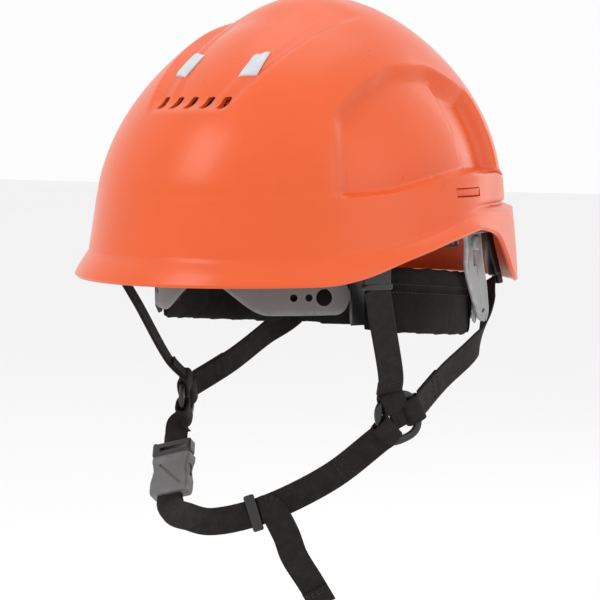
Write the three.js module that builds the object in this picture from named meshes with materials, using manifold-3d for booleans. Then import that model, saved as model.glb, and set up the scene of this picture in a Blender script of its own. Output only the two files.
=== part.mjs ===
// Climbing helmet for tree work: shell, textile suspension, headband with a ratchet cradle,
// and a four-point chin harness with a side-release buckle.
// Millimetres. +Z is up, the front of the helmet faces -Y, and the wearer's left is +X.
// The origin is the centre of the head opening, level with the lower edge of the brim.

import * as THREE from 'three';
import { ParametricGeometry } from 'three/addons/geometries/ParametricGeometry.js';
import { mergeVertices } from 'three/addons/utils/BufferGeometryUtils.js';
import Module from 'manifold-3d';

// ---------------------------------------------------------------- driving dimensions

const CLEARANCE = 0.3; // gap between pieces that seat on each other

const SHELL_HALF_WIDTH = 103; // outline of the shell above the brim
const SHELL_HALF_LENGTH = 136;
const SHELL_TOP = 153;
const SHELL_WALL = 2.8;
const DOME_ROOT = 20; // height at which the dome's side would be upright
const DOME_SQUARENESS = 2.5; // power of the dome's profile at its root
const DOME_TAPER = 0.9; // how much that power falls towards the top
const APEX_SETBACK = 10; // the top lies this far behind the origin
const BRIM_FLARE = 1.1; // outline of the lower edge, as a share of the shell's outline
const CREASE_FLARE_FRONT = 1.035;
const SKIRT_STEP = 1.045;
const RECESS_DEPTH = 6;
const CHANNEL_DEPTH = 3.5;
const PANEL_DEPTH = 4.5;

const VENT_COUNT = 5;
const VENT_PITCH = 10;
const VENT_WIDTH = 4;
const VENT_HEIGHT = 6;
const VENT_LEVEL = 92;
const SCREEN_THICKNESS = 1.4;

const SLOT_LENGTH = 26; // accessory slot in each side of the shell
const SLOT_HEIGHT = 5;
const SLOT_LEVEL = 44;
const SLOT_CENTRE = 6;
const PLUG_DEPTH = 2.1;

const BAND_HALF_WIDTH = 80; // ring that goes round the head
const BAND_HALF_LENGTH = 104;
const BAND_CENTRE = 10;
const BAND_THICKNESS = 2;
const BAND_TOP = 0;
const BAND_HEIGHT = 20;
const BROW_ARCH = 17; // rise of the headband over the brow
const PAD_THICKNESS = 6;
const PAD_HEIGHT = 38;
const PAD_TOP = 3;
const PAD_SLOPE = 0.096; // drop of the side and nape pads for each millimetre back

const CRADLE_PIVOT = new THREE.Vector3(88, 34, 26); // left pivot of the rear cradle
const PIVOT_RADIUS = 3;
const ARM_THICKNESS = 3;
const CRADLE_GAP = 2.5; // room between the side pads and the band that tilts round them
const CRADLE_LEVEL = -26;
const CRADLE_BAND_HEIGHT = 16;
const BUTTON_RADIUS = 4;
const BUTTON_PLACE = new THREE.Vector3(88, 38, 14.5);
const BUTTON_RAISE = 1.8;

const KNOB_RADIUS = 12;
const KNOB_DEPTH = 10;
const PINION_RADIUS = 4.5;
const HOUSING_WIDTH = 64;
const HOUSING_HEIGHT = 22;
const HOUSING_DEPTH = 8.5;
const COVER_THICKNESS = 1.6;
const SHAFT_RADIUS = 3;
const RACK_LENGTH = 40;
const RACK_HEIGHT = 2.4;
const RACK_DEPTH = 3;

const CROWN_RISE = 108;
const CROWN_LAYER = 2.2;
const CROWN_WIDTH = 18;
const CROWN_ANGLE = 48; // the two long crown straps lie this far from square to the front
const CROWN_REACH = 101;
const CROWN_FOOT = 52;

const WEBBING_WIDTH = 15;
const WEBBING_THICKNESS = 1.5;
const DIVIDER = new THREE.Vector3(73, -16, -79); // left strap divider
const DIVIDER_RADIUS = 14;
const DIVIDER_BAR = 4;
const DIVIDER_THICKNESS = 3.2;

const SOCKET_CENTRE = new THREE.Vector3(-57, -50, -119);
const SOCKET_WIDTH = 24;
const SOCKET_LENGTH = 26;
const SOCKET_THICKNESS = 9;
const SOCKET_CAVITY_WIDTH = 20.6;
const SOCKET_CAVITY_THICKNESS = 5;
const SOCKET_FLOOR = 6;
const TONGUE_WIDTH = 22;
const TONGUE_LENGTH = 9;
const PRONG_LENGTH = 12.4;
const PRONG_WIDTH = 3;
const PRONG_OFFSET = 6.4;

// ---------------------------------------------------------------- materials

function material(color, roughness, metalness = 0) {
  return new THREE.MeshStandardMaterial({ color, roughness, metalness });
}

const GLOSS_ORANGE = () => material(0xf05a22, 0.25);
const WEBBING = () => material(0x26221f, 0.85);
const GREY_PLASTIC = () => material(0x7a7a7a, 0.5);
const BLACK_PLASTIC = () => material(0x181818, 0.35);
const CLEAR_GREY = () => material(0x9a9a9a, 0.3);
const PAD_FABRIC = () => material(0x1e1b18, 0.95);
const MESH_METAL = () => material(0x2a2a2a, 0.6);
const PALE_INSERT = () => material(0xd8dde2, 0.3);

// ---------------------------------------------------------------- solids

const wasm = await Module();
wasm.setup();

// Merges shared vertices, drops triangles that have closed up and turns all faces outwards.
function weld(geometry) {
  geometry.deleteAttribute('normal');
  geometry.deleteAttribute('uv');
  const merged = mergeVertices(geometry, 1e-4);
  const source = merged.index.array;
  const kept = [];
  for (let i = 0; i < source.length; i += 3) {
    const [a, b, c] = [source[i], source[i + 1], source[i + 2]];
    if (a !== b && b !== c && c !== a) {
      kept.push(a, b, c);
    }
  }
  const position = merged.getAttribute('position');
  if (signedVolume(position, kept) < 0) {
    kept.reverse();
  }
  const result = new THREE.BufferGeometry();
  result.setAttribute('position', position);
  result.setIndex(kept);
  return result;
}

function signedVolume(position, indices) {
  const [a, b, c] = [new THREE.Vector3(), new THREE.Vector3(), new THREE.Vector3()];
  let total = 0;
  for (let i = 0; i < indices.length; i += 3) {
    a.fromBufferAttribute(position, indices[i]);
    b.fromBufferAttribute(position, indices[i + 1]);
    c.fromBufferAttribute(position, indices[i + 2]);
    total += a.dot(b.cross(c)) / 6;
  }
  return total;
}

function solid(geometry) {
  const closed = weld(geometry);
  const vertProperties = new Float32Array(closed.getAttribute('position').array);
  const triVerts = new Uint32Array(closed.index.array);
  return new wasm.Manifold(new wasm.Mesh({ numProp: 3, vertProperties, triVerts }));
}

function geometryOf(manifold) {
  const mesh = manifold.getMesh();
  const geometry = new THREE.BufferGeometry();
  geometry.setAttribute('position', new THREE.BufferAttribute(mesh.vertProperties, 3));
  geometry.setIndex(new THREE.BufferAttribute(mesh.triVerts, 1));
  return geometry;
}

function box(width, depth, height, x = 0, y = 0, z = 0) {
  return new THREE.BoxGeometry(width, depth, height).translate(x, y, z);
}

// A closed surface of rings: place(i, j) gives corner i of ring j, and the first and last
// rings are single points.
function ringSurface(slices, stacks, place) {
  const geometry = new ParametricGeometry(
    (u, v, target) => {
      const i = Math.round(u * slices) % slices;
      const j = Math.round(v * stacks);
      target.copy(place(i, j));
    },
    slices,
    stacks,
  );
  return weld(geometry);
}

// A bar swept through a list of sections, each a list of corners, with flat ends.
function sweep(sections) {
  const last = sections.length - 1;
  const middle = (corners) => corners
    .reduce((sum, corner) => sum.add(corner), new THREE.Vector3())
    .divideScalar(corners.length);
  return ringSurface(sections[0].length, last + 2, (i, j) => {
    if (j === 0) {
      return middle(sections[0]);
    }
    return j > last + 1 ? middle(sections[last]) : sections[j - 1][i];
  });
}

// Centre and directions of a flat band at a share t of its smooth route. `acrosses` gives
// the band's width direction at each point of the route.
function bandFrame(points, acrosses, t) {
  const curve = new THREE.CatmullRomCurve3(points.map((p) => new THREE.Vector3(...p)));
  const place = t * (points.length - 1);
  const before = Math.min(Math.floor(place), points.length - 2);
  const share = place - before;
  const tangent = curve.getTangent(t);
  const across = new THREE.Vector3(...acrosses[before])
    .lerp(new THREE.Vector3(...acrosses[before + 1]), share)
    .projectOnPlane(tangent)
    .normalize();
  const normal = tangent.clone().cross(across).normalize();
  return { centre: curve.getPoint(t), tangent, across, normal, before, share };
}

// A flat band along a route, lifted off it by `lift` at a share t of its length.
function ribbon(points, acrosses, widths, thickness, steps, end = 1, lift = () => 0) {
  const sections = [];
  for (let step = 0; step <= steps; step += 1) {
    const t = end * step / steps;
    const { centre, across, normal, before, share } = bandFrame(points, acrosses, t);
    const half = THREE.MathUtils.lerp(widths[before], widths[before + 1], share) / 2;
    sections.push([[-1, -1], [1, -1], [1, 1], [-1, 1]].map(([side, face]) => centre.clone()
      .addScaledVector(across, side * half)
      .addScaledVector(normal, lift(t) + face * thickness / 2)));
  }
  return sweep(sections);
}

function webbing(points, acrosses, steps, end, lift) {
  const widths = points.map(() => WEBBING_WIDTH);
  return ribbon(points, acrosses, widths, WEBBING_THICKNESS, steps, end, lift);
}

// A band on the ring round the head. `offset` moves it out from the headband's middle, and
// `lift` raises it by its angle round the head.
function ringBand(offset, thickness, from, to, bottom, top, steps, lift = () => 0) {
  const sections = [];
  for (let step = 0; step <= steps; step += 1) {
    const degrees = THREE.MathUtils.lerp(from, to, step / steps);
    const angle = THREE.MathUtils.degToRad(degrees);
    const place = (out, height) => new THREE.Vector3(
      (BAND_HALF_WIDTH + out) * Math.cos(angle),
      BAND_CENTRE + (BAND_HALF_LENGTH + out) * Math.sin(angle),
      height + lift(degrees),
    );
    const inner = offset - thickness / 2;
    const outer = offset + thickness / 2;
    sections.push([
      place(inner, bottom),
      place(outer, bottom),
      place(outer, top),
      place(inner, top),
    ]);
  }
  return sweep(sections);
}

// The headband arches up over the brow.
function browLift(degrees) {
  return BROW_ARCH * (1 - THREE.MathUtils.smoothstep(Math.abs(degrees + 90), 2, 26));
}

// The pads behind the temples hang lower towards the nape.
function padLift(degrees) {
  const y = BAND_CENTRE + BAND_HALF_LENGTH * Math.sin(THREE.MathUtils.degToRad(degrees));
  return -PAD_SLOPE * y;
}

function mirrored(points) {
  return points.map(([x, y, z]) => [-x, y, z]);
}

// ---------------------------------------------------------------- shell surface

// Heights along the rim, by the angle from the wearer's left towards the back (-90 is front).
const EDGE_HEIGHTS = [
  [-90, 0], [-48, 0], [-40, 3.5], [-28, 12], [-13, 20], [3, 26],
  [16, 21], [24, 10], [33, -3.5], [38, -8], [60, -10], [90, -10],
];
const CREASE_HEIGHTS = [[-90, 13], [-54, 12], [-31, 19], [-16, 25], [-5, 31], [9, 35], [90, 35]];
const LEDGE_HEIGHTS = [[-90, 42], [-48, 43], [-30, 45], [-7, 52], [8, 55], [30, 55], [45, 51], [90, 50]];
const RECESS_TOPS = [[-90, 84], [-48, 84], [-38, 100], [-19, 112], [10, 113], [35, 100], [90, 90]];

function lookUp(pairs, angle) {
  const next = pairs.findIndex(([at]) => at >= angle);
  if (next <= 0) {
    return pairs[next === 0 ? 0 : pairs.length - 1][1];
  }
  const [[a0, z0], [a1, z1]] = [pairs[next - 1], pairs[next]];
  return THREE.MathUtils.lerp(z0, z1, (angle - a0) / (a1 - a0));
}

const { smoothstep } = THREE.MathUtils;

// Size of the dome's outline at a height, as a share of the shell's outline.
function domeShare(height) {
  const rise = Math.max(0, (height - DOME_ROOT) / (SHELL_TOP - DOME_ROOT));
  return Math.sqrt(Math.max(0, 1 - rise ** (DOME_SQUARENESS - DOME_TAPER * rise)));
}

function outlinePoint(angle, share, height) {
  const radians = THREE.MathUtils.degToRad(angle);
  const reach = share / Math.hypot(
    Math.cos(radians) / SHELL_HALF_WIDTH,
    Math.sin(radians) / SHELL_HALF_LENGTH,
  );
  const setback = APEX_SETBACK * Math.max(0, (height - 50) / (SHELL_TOP - 50));
  return new THREE.Vector3(
    reach * Math.cos(radians),
    reach * Math.sin(radians) + setback,
    height,
  );
}

// How far the recess in each side and the sunken front panel lie below the dome.
function sunkenDepth(point) {
  const side = THREE.MathUtils.radToDeg(Math.atan2(point.y, Math.abs(point.x)));
  const top = lookUp(RECESS_TOPS, side);
  const upright = 1 - smoothstep(point.z, top - 8, top);
  const recess = smoothstep(side, -50, -40) * (1 - smoothstep(side, 30, 38)) * upright;
  const channel = smoothstep(side, 9, 13) * (1 - smoothstep(side, 30, 38)) * upright;
  const panelSide = THREE.MathUtils.mapLinear(point.z, 88, 140, 24, 41);
  const panel = (1 - smoothstep(Math.abs(point.x), panelSide - 4, panelSide + 4))
    * smoothstep(point.z, 86, 95)
    * smoothstep(-point.y, 0, 40);
  return RECESS_DEPTH * recess + CHANNEL_DEPTH * channel + PANEL_DEPTH * panel;
}

// Levels of the profile: 0 is the apex, LEDGE the foot of the dome, 1 the lower edge.
const LEDGE = 0.66;
const BAND_TOP_LEVEL = 0.7;
const CREASE = 0.84;
const STEP_FOOT = 0.88;

function outerPoint(angle, level) {
  const wrapped = Math.atan2(Math.sin(angle), Math.cos(angle));
  const side = THREE.MathUtils.radToDeg(
    Math.atan2(Math.sin(wrapped), Math.abs(Math.cos(wrapped))),
  );
  const degrees = THREE.MathUtils.radToDeg(wrapped);
  const ledge = lookUp(LEDGE_HEIGHTS, side);
  const crease = lookUp(CREASE_HEIGHTS, side);
  const edge = lookUp(EDGE_HEIGHTS, side);
  const rear = smoothstep(side, -5, 30);
  const creaseShare = THREE.MathUtils.lerp(CREASE_FLARE_FRONT, 1.005, rear);
  const stepShare = THREE.MathUtils.lerp(CREASE_FLARE_FRONT + 0.01, SKIRT_STEP, rear);
  if (level <= LEDGE) {
    const turn = Math.PI / 2 * (1 - level / LEDGE);
    const foot = Math.asin((ledge + 3 - DOME_ROOT) / (SHELL_TOP - DOME_ROOT));
    const rise = Math.sin(Math.max(turn, 0) * (1 - foot / (Math.PI / 2)) + foot);
    const height = DOME_ROOT + (SHELL_TOP - DOME_ROOT) * rise;
    const point = outlinePoint(degrees, domeShare(height), height);
    const outward = new THREE.Vector3(
      point.x / SHELL_HALF_WIDTH ** 2,
      point.y / SHELL_HALF_LENGTH ** 2,
      (height - DOME_ROOT) / (SHELL_TOP - DOME_ROOT) ** 2,
    ).normalize();
    return point.addScaledVector(outward, -sunkenDepth(point));
  }
  if (level <= BAND_TOP_LEVEL) {
    const foot = outerPoint(angle, LEDGE);
    const share = (level - LEDGE) / (BAND_TOP_LEVEL - LEDGE);
    return foot.lerp(outlinePoint(degrees, 0.995, ledge), share);
  }
  if (level <= CREASE) {
    const share = (level - BAND_TOP_LEVEL) / (CREASE - BAND_TOP_LEVEL);
    const height = THREE.MathUtils.lerp(ledge, crease, share);
    return outlinePoint(degrees, THREE.MathUtils.lerp(0.995, creaseShare, share), height);
  }
  if (level <= STEP_FOOT) {
    const share = (level - CREASE) / (STEP_FOOT - CREASE);
    const height = crease - 2 * share;
    return outlinePoint(degrees, THREE.MathUtils.lerp(creaseShare, stepShare, share), height);
  }
  const share = (level - STEP_FOOT) / (1 - STEP_FOOT);
  const height = THREE.MathUtils.lerp(crease - 2, edge, share);
  const rearFlare = THREE.MathUtils.lerp(BRIM_FLARE, 1.075, rear);
  return outlinePoint(degrees, THREE.MathUtils.lerp(stepShare, rearFlare, share), height);
}

// A point under the outer surface, measured square to it.
function innerPoint(angle, level, depth) {
  const turn = 0.03;
  const step = 0.012;
  const here = outerPoint(angle, level);
  if (level < step) {
    return here.setZ(here.z - depth);
  }
  const along = outerPoint(angle + turn, level).sub(outerPoint(angle - turn, level));
  const down = outerPoint(angle, Math.min(1, level + step))
    .sub(outerPoint(angle, level - step));
  const outward = down.cross(along).normalize();
  return here.addScaledVector(outward, -depth);
}

const SHELL_SLICES = 56;
const SHELL_LEVELS = [
  0, 0.05, 0.11, 0.18, 0.25, 0.32, 0.39, 0.46, 0.52, 0.58, 0.62,
  LEDGE, BAND_TOP_LEVEL, 0.77, CREASE, STEP_FOOT, 0.94, 1,
];

function shellSolid() {
  const rows = SHELL_LEVELS.length;
  const geometry = ringSurface(SHELL_SLICES, 2 * rows - 1, (i, j) => {
    const angle = 2 * Math.PI * i / SHELL_SLICES;
    return j < rows
      ? outerPoint(angle, SHELL_LEVELS[j])
      : innerPoint(angle, SHELL_LEVELS[2 * rows - 1 - j], SHELL_WALL);
  });
  return solid(geometry);
}

// Everything under the shell's outer surface moved in by `depth`, closed far below.
function shellVolume(depth) {
  const rows = SHELL_LEVELS.length;
  const geometry = ringSurface(SHELL_SLICES, rows + 1, (i, j) => {
    const angle = 2 * Math.PI * i / SHELL_SLICES;
    if (j < rows) {
      return innerPoint(angle, SHELL_LEVELS[j], depth);
    }
    const rim = innerPoint(angle, 1, depth);
    return j === rows ? rim.setZ(-60) : new THREE.Vector3(0, 0, -60);
  });
  return solid(geometry);
}

// A thin patch that follows the shell between two depths under its outer surface.
function shellPatch(fromAngle, toAngle, fromLevel, toLevel, shallow, deep, columns, rows) {
  const sections = [];
  for (let column = 0; column <= columns; column += 1) {
    const angle = THREE.MathUtils.degToRad(
      THREE.MathUtils.lerp(fromAngle, toAngle, column / columns),
    );
    const section = [];
    for (let row = 0; row <= rows; row += 1) {
      section.push(innerPoint(angle, THREE.MathUtils.lerp(fromLevel, toLevel, row / rows), shallow));
    }
    for (let row = rows; row >= 0; row -= 1) {
      section.push(innerPoint(angle, THREE.MathUtils.lerp(fromLevel, toLevel, row / rows), deep));
    }
    sections.push(section);
  }
  return sweep(sections);
}

// ---------------------------------------------------------------- shell group

function slotPlace(side) {
  return [side * SHELL_HALF_WIDTH, SLOT_CENTRE, SLOT_LEVEL];
}

function shell() {
  let body = shellSolid();
  for (let vent = 0; vent < VENT_COUNT; vent += 1) {
    const x = (vent - (VENT_COUNT - 1) / 2) * VENT_PITCH;
    const cut = box(VENT_WIDTH, 50, VENT_HEIGHT, x, -SHELL_HALF_LENGTH * 0.8, VENT_LEVEL);
    body = body.subtract(solid(cut));
  }
  for (const side of [-1, 1]) {
    const [x, y, z] = slotPlace(side);
    body = body.subtract(solid(box(20, SLOT_LENGTH, SLOT_HEIGHT, x, y, z)));
  }
  return geometryOf(body);
}

function accessoryPlug(side) {
  const [x, y, z] = slotPlace(side);
  const length = SLOT_LENGTH - 2 * CLEARANCE;
  const height = SLOT_HEIGHT - 2 * CLEARANCE;
  return box(PLUG_DEPTH, length, height, x - side * PLUG_DEPTH / 2, y, z);
}

function ventScreen() {
  const patch = shellPatch(-104, -76, 0.41, 0.53, SHELL_WALL - 1, SHELL_WALL + 3, 10, 4);
  const front = SHELL_WALL + 3 * CLEARANCE;
  const back = shellVolume(front + SCREEN_THICKNESS);
  return geometryOf(solid(patch).intersect(shellVolume(front)).subtract(back));
}

function markerInsert(surround, side) {
  const middle = -90 + side * 15;
  const patch = shellPatch(middle - 3, middle + 3, 0.33, 0.4, -1.5, 2, 3, 3);
  return geometryOf(solid(patch).subtract(surround));
}

// A block inside the shell, trimmed to follow its wall.
function trimmedBlock(room, width, depth, height, x, y, z, turn = 0) {
  const block = new THREE.BoxGeometry(width, depth, height)
    .rotateZ(THREE.MathUtils.degToRad(turn))
    .translate(x, y, z);
  return solid(block).intersect(room);
}

function sideHanger(room, side) {
  const { x, y, z } = CRADLE_PIVOT;
  const face = x + ARM_THICKNESS / 2 + CLEARANCE;
  const block = trimmedBlock(room, 30, 54, 30, side * (face + 15), y - 18, z + 11);
  const pinLength = ARM_THICKNESS + 2 * CLEARANCE + 1;
  const pin = new THREE.CylinderGeometry(PIVOT_RADIUS, PIVOT_RADIUS, pinLength, 20)
    .rotateZ(Math.PI / 2)
    .translate(side * (face + 0.5 - pinLength / 2 + CLEARANCE), y, z);
  return geometryOf(block.add(solid(pin)));
}

// A clip in a corner of the shell that holds the end of a crown strap.
function cornerHanger(room, side, end) {
  const turn = THREE.MathUtils.degToRad(CROWN_ANGLE);
  const reach = CROWN_REACH + 1 + CLEARANCE + 15;
  const [x, y] = [side * reach * Math.cos(turn), end * reach * Math.sin(turn)];
  return geometryOf(trimmedBlock(room, 30, 24, 18, x, y, CROWN_FOOT - 8, side * end * CROWN_ANGLE));
}

// ---------------------------------------------------------------- suspension

// A textile strap over the head between two opposite hangers.
function crownStrap(angle, foot, footHeight, layer) {
  const turn = THREE.MathUtils.degToRad(angle);
  const [cx, cy] = [Math.cos(turn), Math.sin(turn)];
  const top = CROWN_RISE + layer * CROWN_LAYER;
  const points = [];
  const acrosses = [];
  const count = 9;
  for (let i = 0; i < count; i += 1) {
    const sweepAngle = Math.PI * i / (count - 1);
    const reach = foot * Math.cos(sweepAngle);
    points.push([reach * cx, reach * cy, footHeight + (top - footHeight) * Math.sin(sweepAngle)]);
    acrosses.push([-cy, cx, 0]);
  }
  return ribbon(points, acrosses, points.map(() => CROWN_WIDTH), 1.2, 20);
}

function crownPad() {
  const top = CROWN_RISE - 0.6 - CLEARANCE;
  const [radius, thickness, curve] = [26, 4, 75];
  const profile = [new THREE.Vector2(0, top)];
  for (const r of [radius * 0.5, radius]) {
    profile.push(new THREE.Vector2(r, top - r * r / (2 * curve)));
  }
  for (const r of [radius, radius * 0.5]) {
    profile.push(new THREE.Vector2(r, top - thickness - r * r / (2 * curve)));
  }
  profile.push(new THREE.Vector2(0, top - thickness));
  return weld(new THREE.LatheGeometry(profile, 24).rotateX(Math.PI / 2));
}

function sideBand(side) {
  const points = [[88.7, -15, 19], [88.7, 2, 19], [88.7, 19, 19]];
  const placed = side > 0 ? points : mirrored(points);
  return ribbon(placed, placed.map(() => [0, 0, 1]), placed.map(() => 11), 1.6, 4);
}

function templeBracket(side) {
  const [from, to] = side > 0 ? [-35.8, -31.6] : [211.6, 215.8];
  return ringBand(0.5, 4, from, to, -26, 22, 2);
}

// Carries the temple bracket from the clip in the front corner of the shell.
function templeLink(side) {
  const points = [[66.5, -50.2, 23.2], [71, -62, 31], [75, -74, 32]];
  const placed = side > 0 ? points : mirrored(points);
  return ribbon(placed, placed.map(() => [side * 0.9, 0.3, -0.3]), placed.map(() => 12), 2, 5);
}

function sidePad(side) {
  const [from, to] = side > 0 ? [-31.4, 36] : [144, 211.4];
  return ringBand(-2, PAD_THICKNESS, from, to, PAD_TOP - PAD_HEIGHT, PAD_TOP, 12, padLift);
}

// ---------------------------------------------------------------- rear cradle

const CRADLE_OFFSET = -2 + PAD_THICKNESS / 2 + CRADLE_GAP + 1;
const CRADLE_BACK = BAND_CENTRE + BAND_HALF_LENGTH + CRADLE_OFFSET + 1;

function arm(side) {
  const points = [[88, 29, 36], [88, 34, 26], [88, 37, 16], [84.5, 44, 4], [80, 58, -14], [77, 69, -32]];
  const placed = side > 0 ? points : mirrored(points);
  const acrosses = placed.map((point, i) => [i < 3 ? 0 : side * 0.1, 1, 0.35]);
  const widths = [13, 15, 17, 17, 15, 9];
  const plate = solid(ribbon(placed, acrosses, widths, ARM_THICKNESS, 15));
  const { x, y, z } = CRADLE_PIVOT;
  const hole = new THREE.CylinderGeometry(
    PIVOT_RADIUS + CLEARANCE, PIVOT_RADIUS + CLEARANCE, 30, 20,
  ).rotateZ(Math.PI / 2).translate(side * x, y, z);
  const place = BUTTON_PLACE;
  const opening = new THREE.CylinderGeometry(
    BUTTON_RADIUS + CLEARANCE, BUTTON_RADIUS + CLEARANCE, 30, 20,
  ).rotateZ(Math.PI / 2).translate(side * place.x, place.y, place.z);
  return geometryOf(plate.subtract(solid(hole)).subtract(solid(opening)));
}

function napeBand() {
  const top = CRADLE_LEVEL + CRADLE_BAND_HEIGHT / 2;
  return ringBand(CRADLE_OFFSET, 2, 28, 152, top - CRADLE_BAND_HEIGHT, top, 24);
}

function napePad() {
  const outer = CRADLE_OFFSET - 1 - CLEARANCE;
  return ringBand(outer - 3, 6, 41, 139, PAD_TOP - PAD_HEIGHT, PAD_TOP, 18, padLift);
}

const HOUSING_FRONT = CRADLE_BACK + CLEARANCE;
const HOUSING_BACK = HOUSING_FRONT + HOUSING_DEPTH;
const RACK_MIDDLE = HOUSING_FRONT + 3.6;
const RACK_OFFSET = PINION_RADIUS + CLEARANCE + RACK_HEIGHT / 2;

function upright(radius, from, to, sides) {
  return new THREE.CylinderGeometry(radius, radius, to - from, sides)
    .translate(0, (from + to) / 2, CRADLE_LEVEL);
}

function ratchetHousing() {
  const middle = (HOUSING_FRONT + HOUSING_BACK) / 2;
  const body = solid(box(HOUSING_WIDTH, HOUSING_DEPTH, HOUSING_HEIGHT, 0, middle, CRADLE_LEVEL));
  const channelHeight = 2 * (RACK_OFFSET + RACK_HEIGHT / 2 + CLEARANCE);
  const channel = box(
    HOUSING_WIDTH + 2, RACK_DEPTH + 2 * CLEARANCE + 0.4, channelHeight, 0, RACK_MIDDLE, CRADLE_LEVEL,
  );
  const bore = upright(SHAFT_RADIUS + CLEARANCE, RACK_MIDDLE, HOUSING_BACK + 1, 24);
  return geometryOf(body.subtract(solid(channel)).subtract(solid(bore)));
}

function ratchetCover() {
  const front = HOUSING_BACK + CLEARANCE;
  const plate = box(
    HOUSING_WIDTH - 8, COVER_THICKNESS, HOUSING_HEIGHT - 2, 0, front + COVER_THICKNESS / 2, CRADLE_LEVEL,
  );
  const bore = upright(SHAFT_RADIUS + CLEARANCE, front - 1, front + COVER_THICKNESS + 1, 24);
  return geometryOf(solid(plate).subtract(solid(bore)));
}

const KNOB_FRONT = HOUSING_BACK + 2 * CLEARANCE + COVER_THICKNESS;
const PINION_FRONT = RACK_MIDDLE - RACK_DEPTH / 2;
const PINION_BACK = RACK_MIDDLE + RACK_DEPTH / 2;

function ratchetKnob() {
  const wheel = solid(upright(KNOB_RADIUS, KNOB_FRONT, KNOB_FRONT + KNOB_DEPTH, 32));
  const shaft = solid(upright(SHAFT_RADIUS, PINION_BACK + CLEARANCE, KNOB_FRONT + 1, 24));
  let knob = wheel.add(shaft);
  const grips = 12;
  for (let grip = 0; grip < grips; grip += 1) {
    const turn = 2 * Math.PI * grip / grips;
    const groove = new THREE.CylinderGeometry(1.4, 1.4, KNOB_DEPTH, 8).translate(
      (KNOB_RADIUS + 0.5) * Math.cos(turn),
      KNOB_FRONT + KNOB_DEPTH / 2 + 2,
      CRADLE_LEVEL + (KNOB_RADIUS + 0.5) * Math.sin(turn),
    );
    knob = knob.subtract(solid(groove));
  }
  return geometryOf(knob);
}

function ratchetPinion() {
  return upright(PINION_RADIUS, PINION_FRONT, PINION_BACK, 20);
}

function rack(side) {
  return box(
    RACK_LENGTH, RACK_DEPTH, RACK_HEIGHT,
    side * (RACK_LENGTH / 2 - 8), RACK_MIDDLE, CRADLE_LEVEL + side * RACK_OFFSET,
  );
}

function armButton(side) {
  const length = ARM_THICKNESS + BUTTON_RAISE;
  return new THREE.CylinderGeometry(BUTTON_RADIUS, BUTTON_RADIUS, length, 20)
    .rotateZ(Math.PI / 2)
    .translate(side * (BUTTON_PLACE.x + BUTTON_RAISE / 2), BUTTON_PLACE.y, BUTTON_PLACE.z);
}

// ---------------------------------------------------------------- harness

function frontAnchor(room, side) {
  return geometryOf(trimmedBlock(room, 20, 18, 12, side * 90, -58, 6, side * -32));
}

function rearAnchor(room, side) {
  return geometryOf(trimmedBlock(room, 18, 14, 22, side * 63, 106, 3, side * -58));
}

function dividerNormal(side) {
  return new THREE.Vector3(0.9 * side, -0.42, 0).normalize();
}

function dividerFrame(side) {
  const normal = dividerNormal(side);
  const upwards = new THREE.Vector3(0, 0, 1);
  const place = new THREE.Matrix4().makeBasis(upwards.clone().cross(normal), upwards, normal);
  const outline = new THREE.Shape();
  outline.absarc(0, 0, DIVIDER_RADIUS, 0, 2 * Math.PI);
  const hole = new THREE.Path();
  hole.absarc(0, 0, DIVIDER_RADIUS - DIVIDER_BAR, 0, 2 * Math.PI, true);
  outline.holes.push(hole);
  const ring = new THREE.ExtrudeGeometry(outline, {
    depth: DIVIDER_THICKNESS, bevelEnabled: false, curveSegments: 14,
  }).translate(0, 0, -DIVIDER_THICKNESS / 2);
  return weld(ring.applyMatrix4(place).translate(side * DIVIDER.x, DIVIDER.y, DIVIDER.z));
}

// The point where a strap ends just outside the divider's ring.
function dividerEnd(side, towards) {
  const centre = new THREE.Vector3(side * DIVIDER.x, DIVIDER.y, DIVIDER.z);
  const way = new THREE.Vector3(...towards)
    .sub(centre)
    .projectOnPlane(dividerNormal(side))
    .normalize();
  return centre.addScaledVector(way, DIVIDER_RADIUS + 2 * CLEARANCE).toArray();
}

function frontStrap(side) {
  const near = [side * 76, -28, -56];
  const points = [[side * 87, -59, -4], [side * 83, -48, -22], near, dividerEnd(side, near)];
  const across = [side * 0.42, 0.9, 0];
  return webbing(points, points.map(() => across), 12);
}

function rearStrap(side) {
  const near = [side * 74, 30, -61];
  const points = [
    [side * 61, 103.5, -11], [side * 63, 99, -23], [side * 68, 85, -37],
    [side * 73, 68, -46], near, dividerEnd(side, near),
  ];
  const edgeOn = [side * 0.75, -0.6, 0];
  const acrosses = [
    edgeOn, edgeOn, [side * 0.5, -0.3, 0.6], [0, 0.25, 0.95], [0, -0.3, 1], [0, -0.4, 1],
  ];
  return webbing(points, acrosses, 20);
}

// ---------------------------------------------------------------- buckle and chin strap

const BUCKLE_AXIS = new THREE.Vector3(-0.343, 0.571, 0.743).normalize();
const BUCKLE_NORMAL = new THREE.Vector3(0.037, -0.784, 0.62)
  .projectOnPlane(BUCKLE_AXIS)
  .normalize();
const BUCKLE_ACROSS = BUCKLE_NORMAL.clone().cross(BUCKLE_AXIS).negate();
const BUCKLE_PLACE = new THREE.Matrix4()
  .makeBasis(BUCKLE_ACROSS, BUCKLE_NORMAL.clone().negate(), BUCKLE_AXIS)
  .setPosition(SOCKET_CENTRE);

// A point given in the buckle's own directions: across, inwards and up towards the tongue.
function onBuckle(across, inwards, up) {
  return new THREE.Vector3(across, inwards, up).applyMatrix4(BUCKLE_PLACE).toArray();
}

const SOCKET_TOP = SOCKET_LENGTH / 2;

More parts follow.
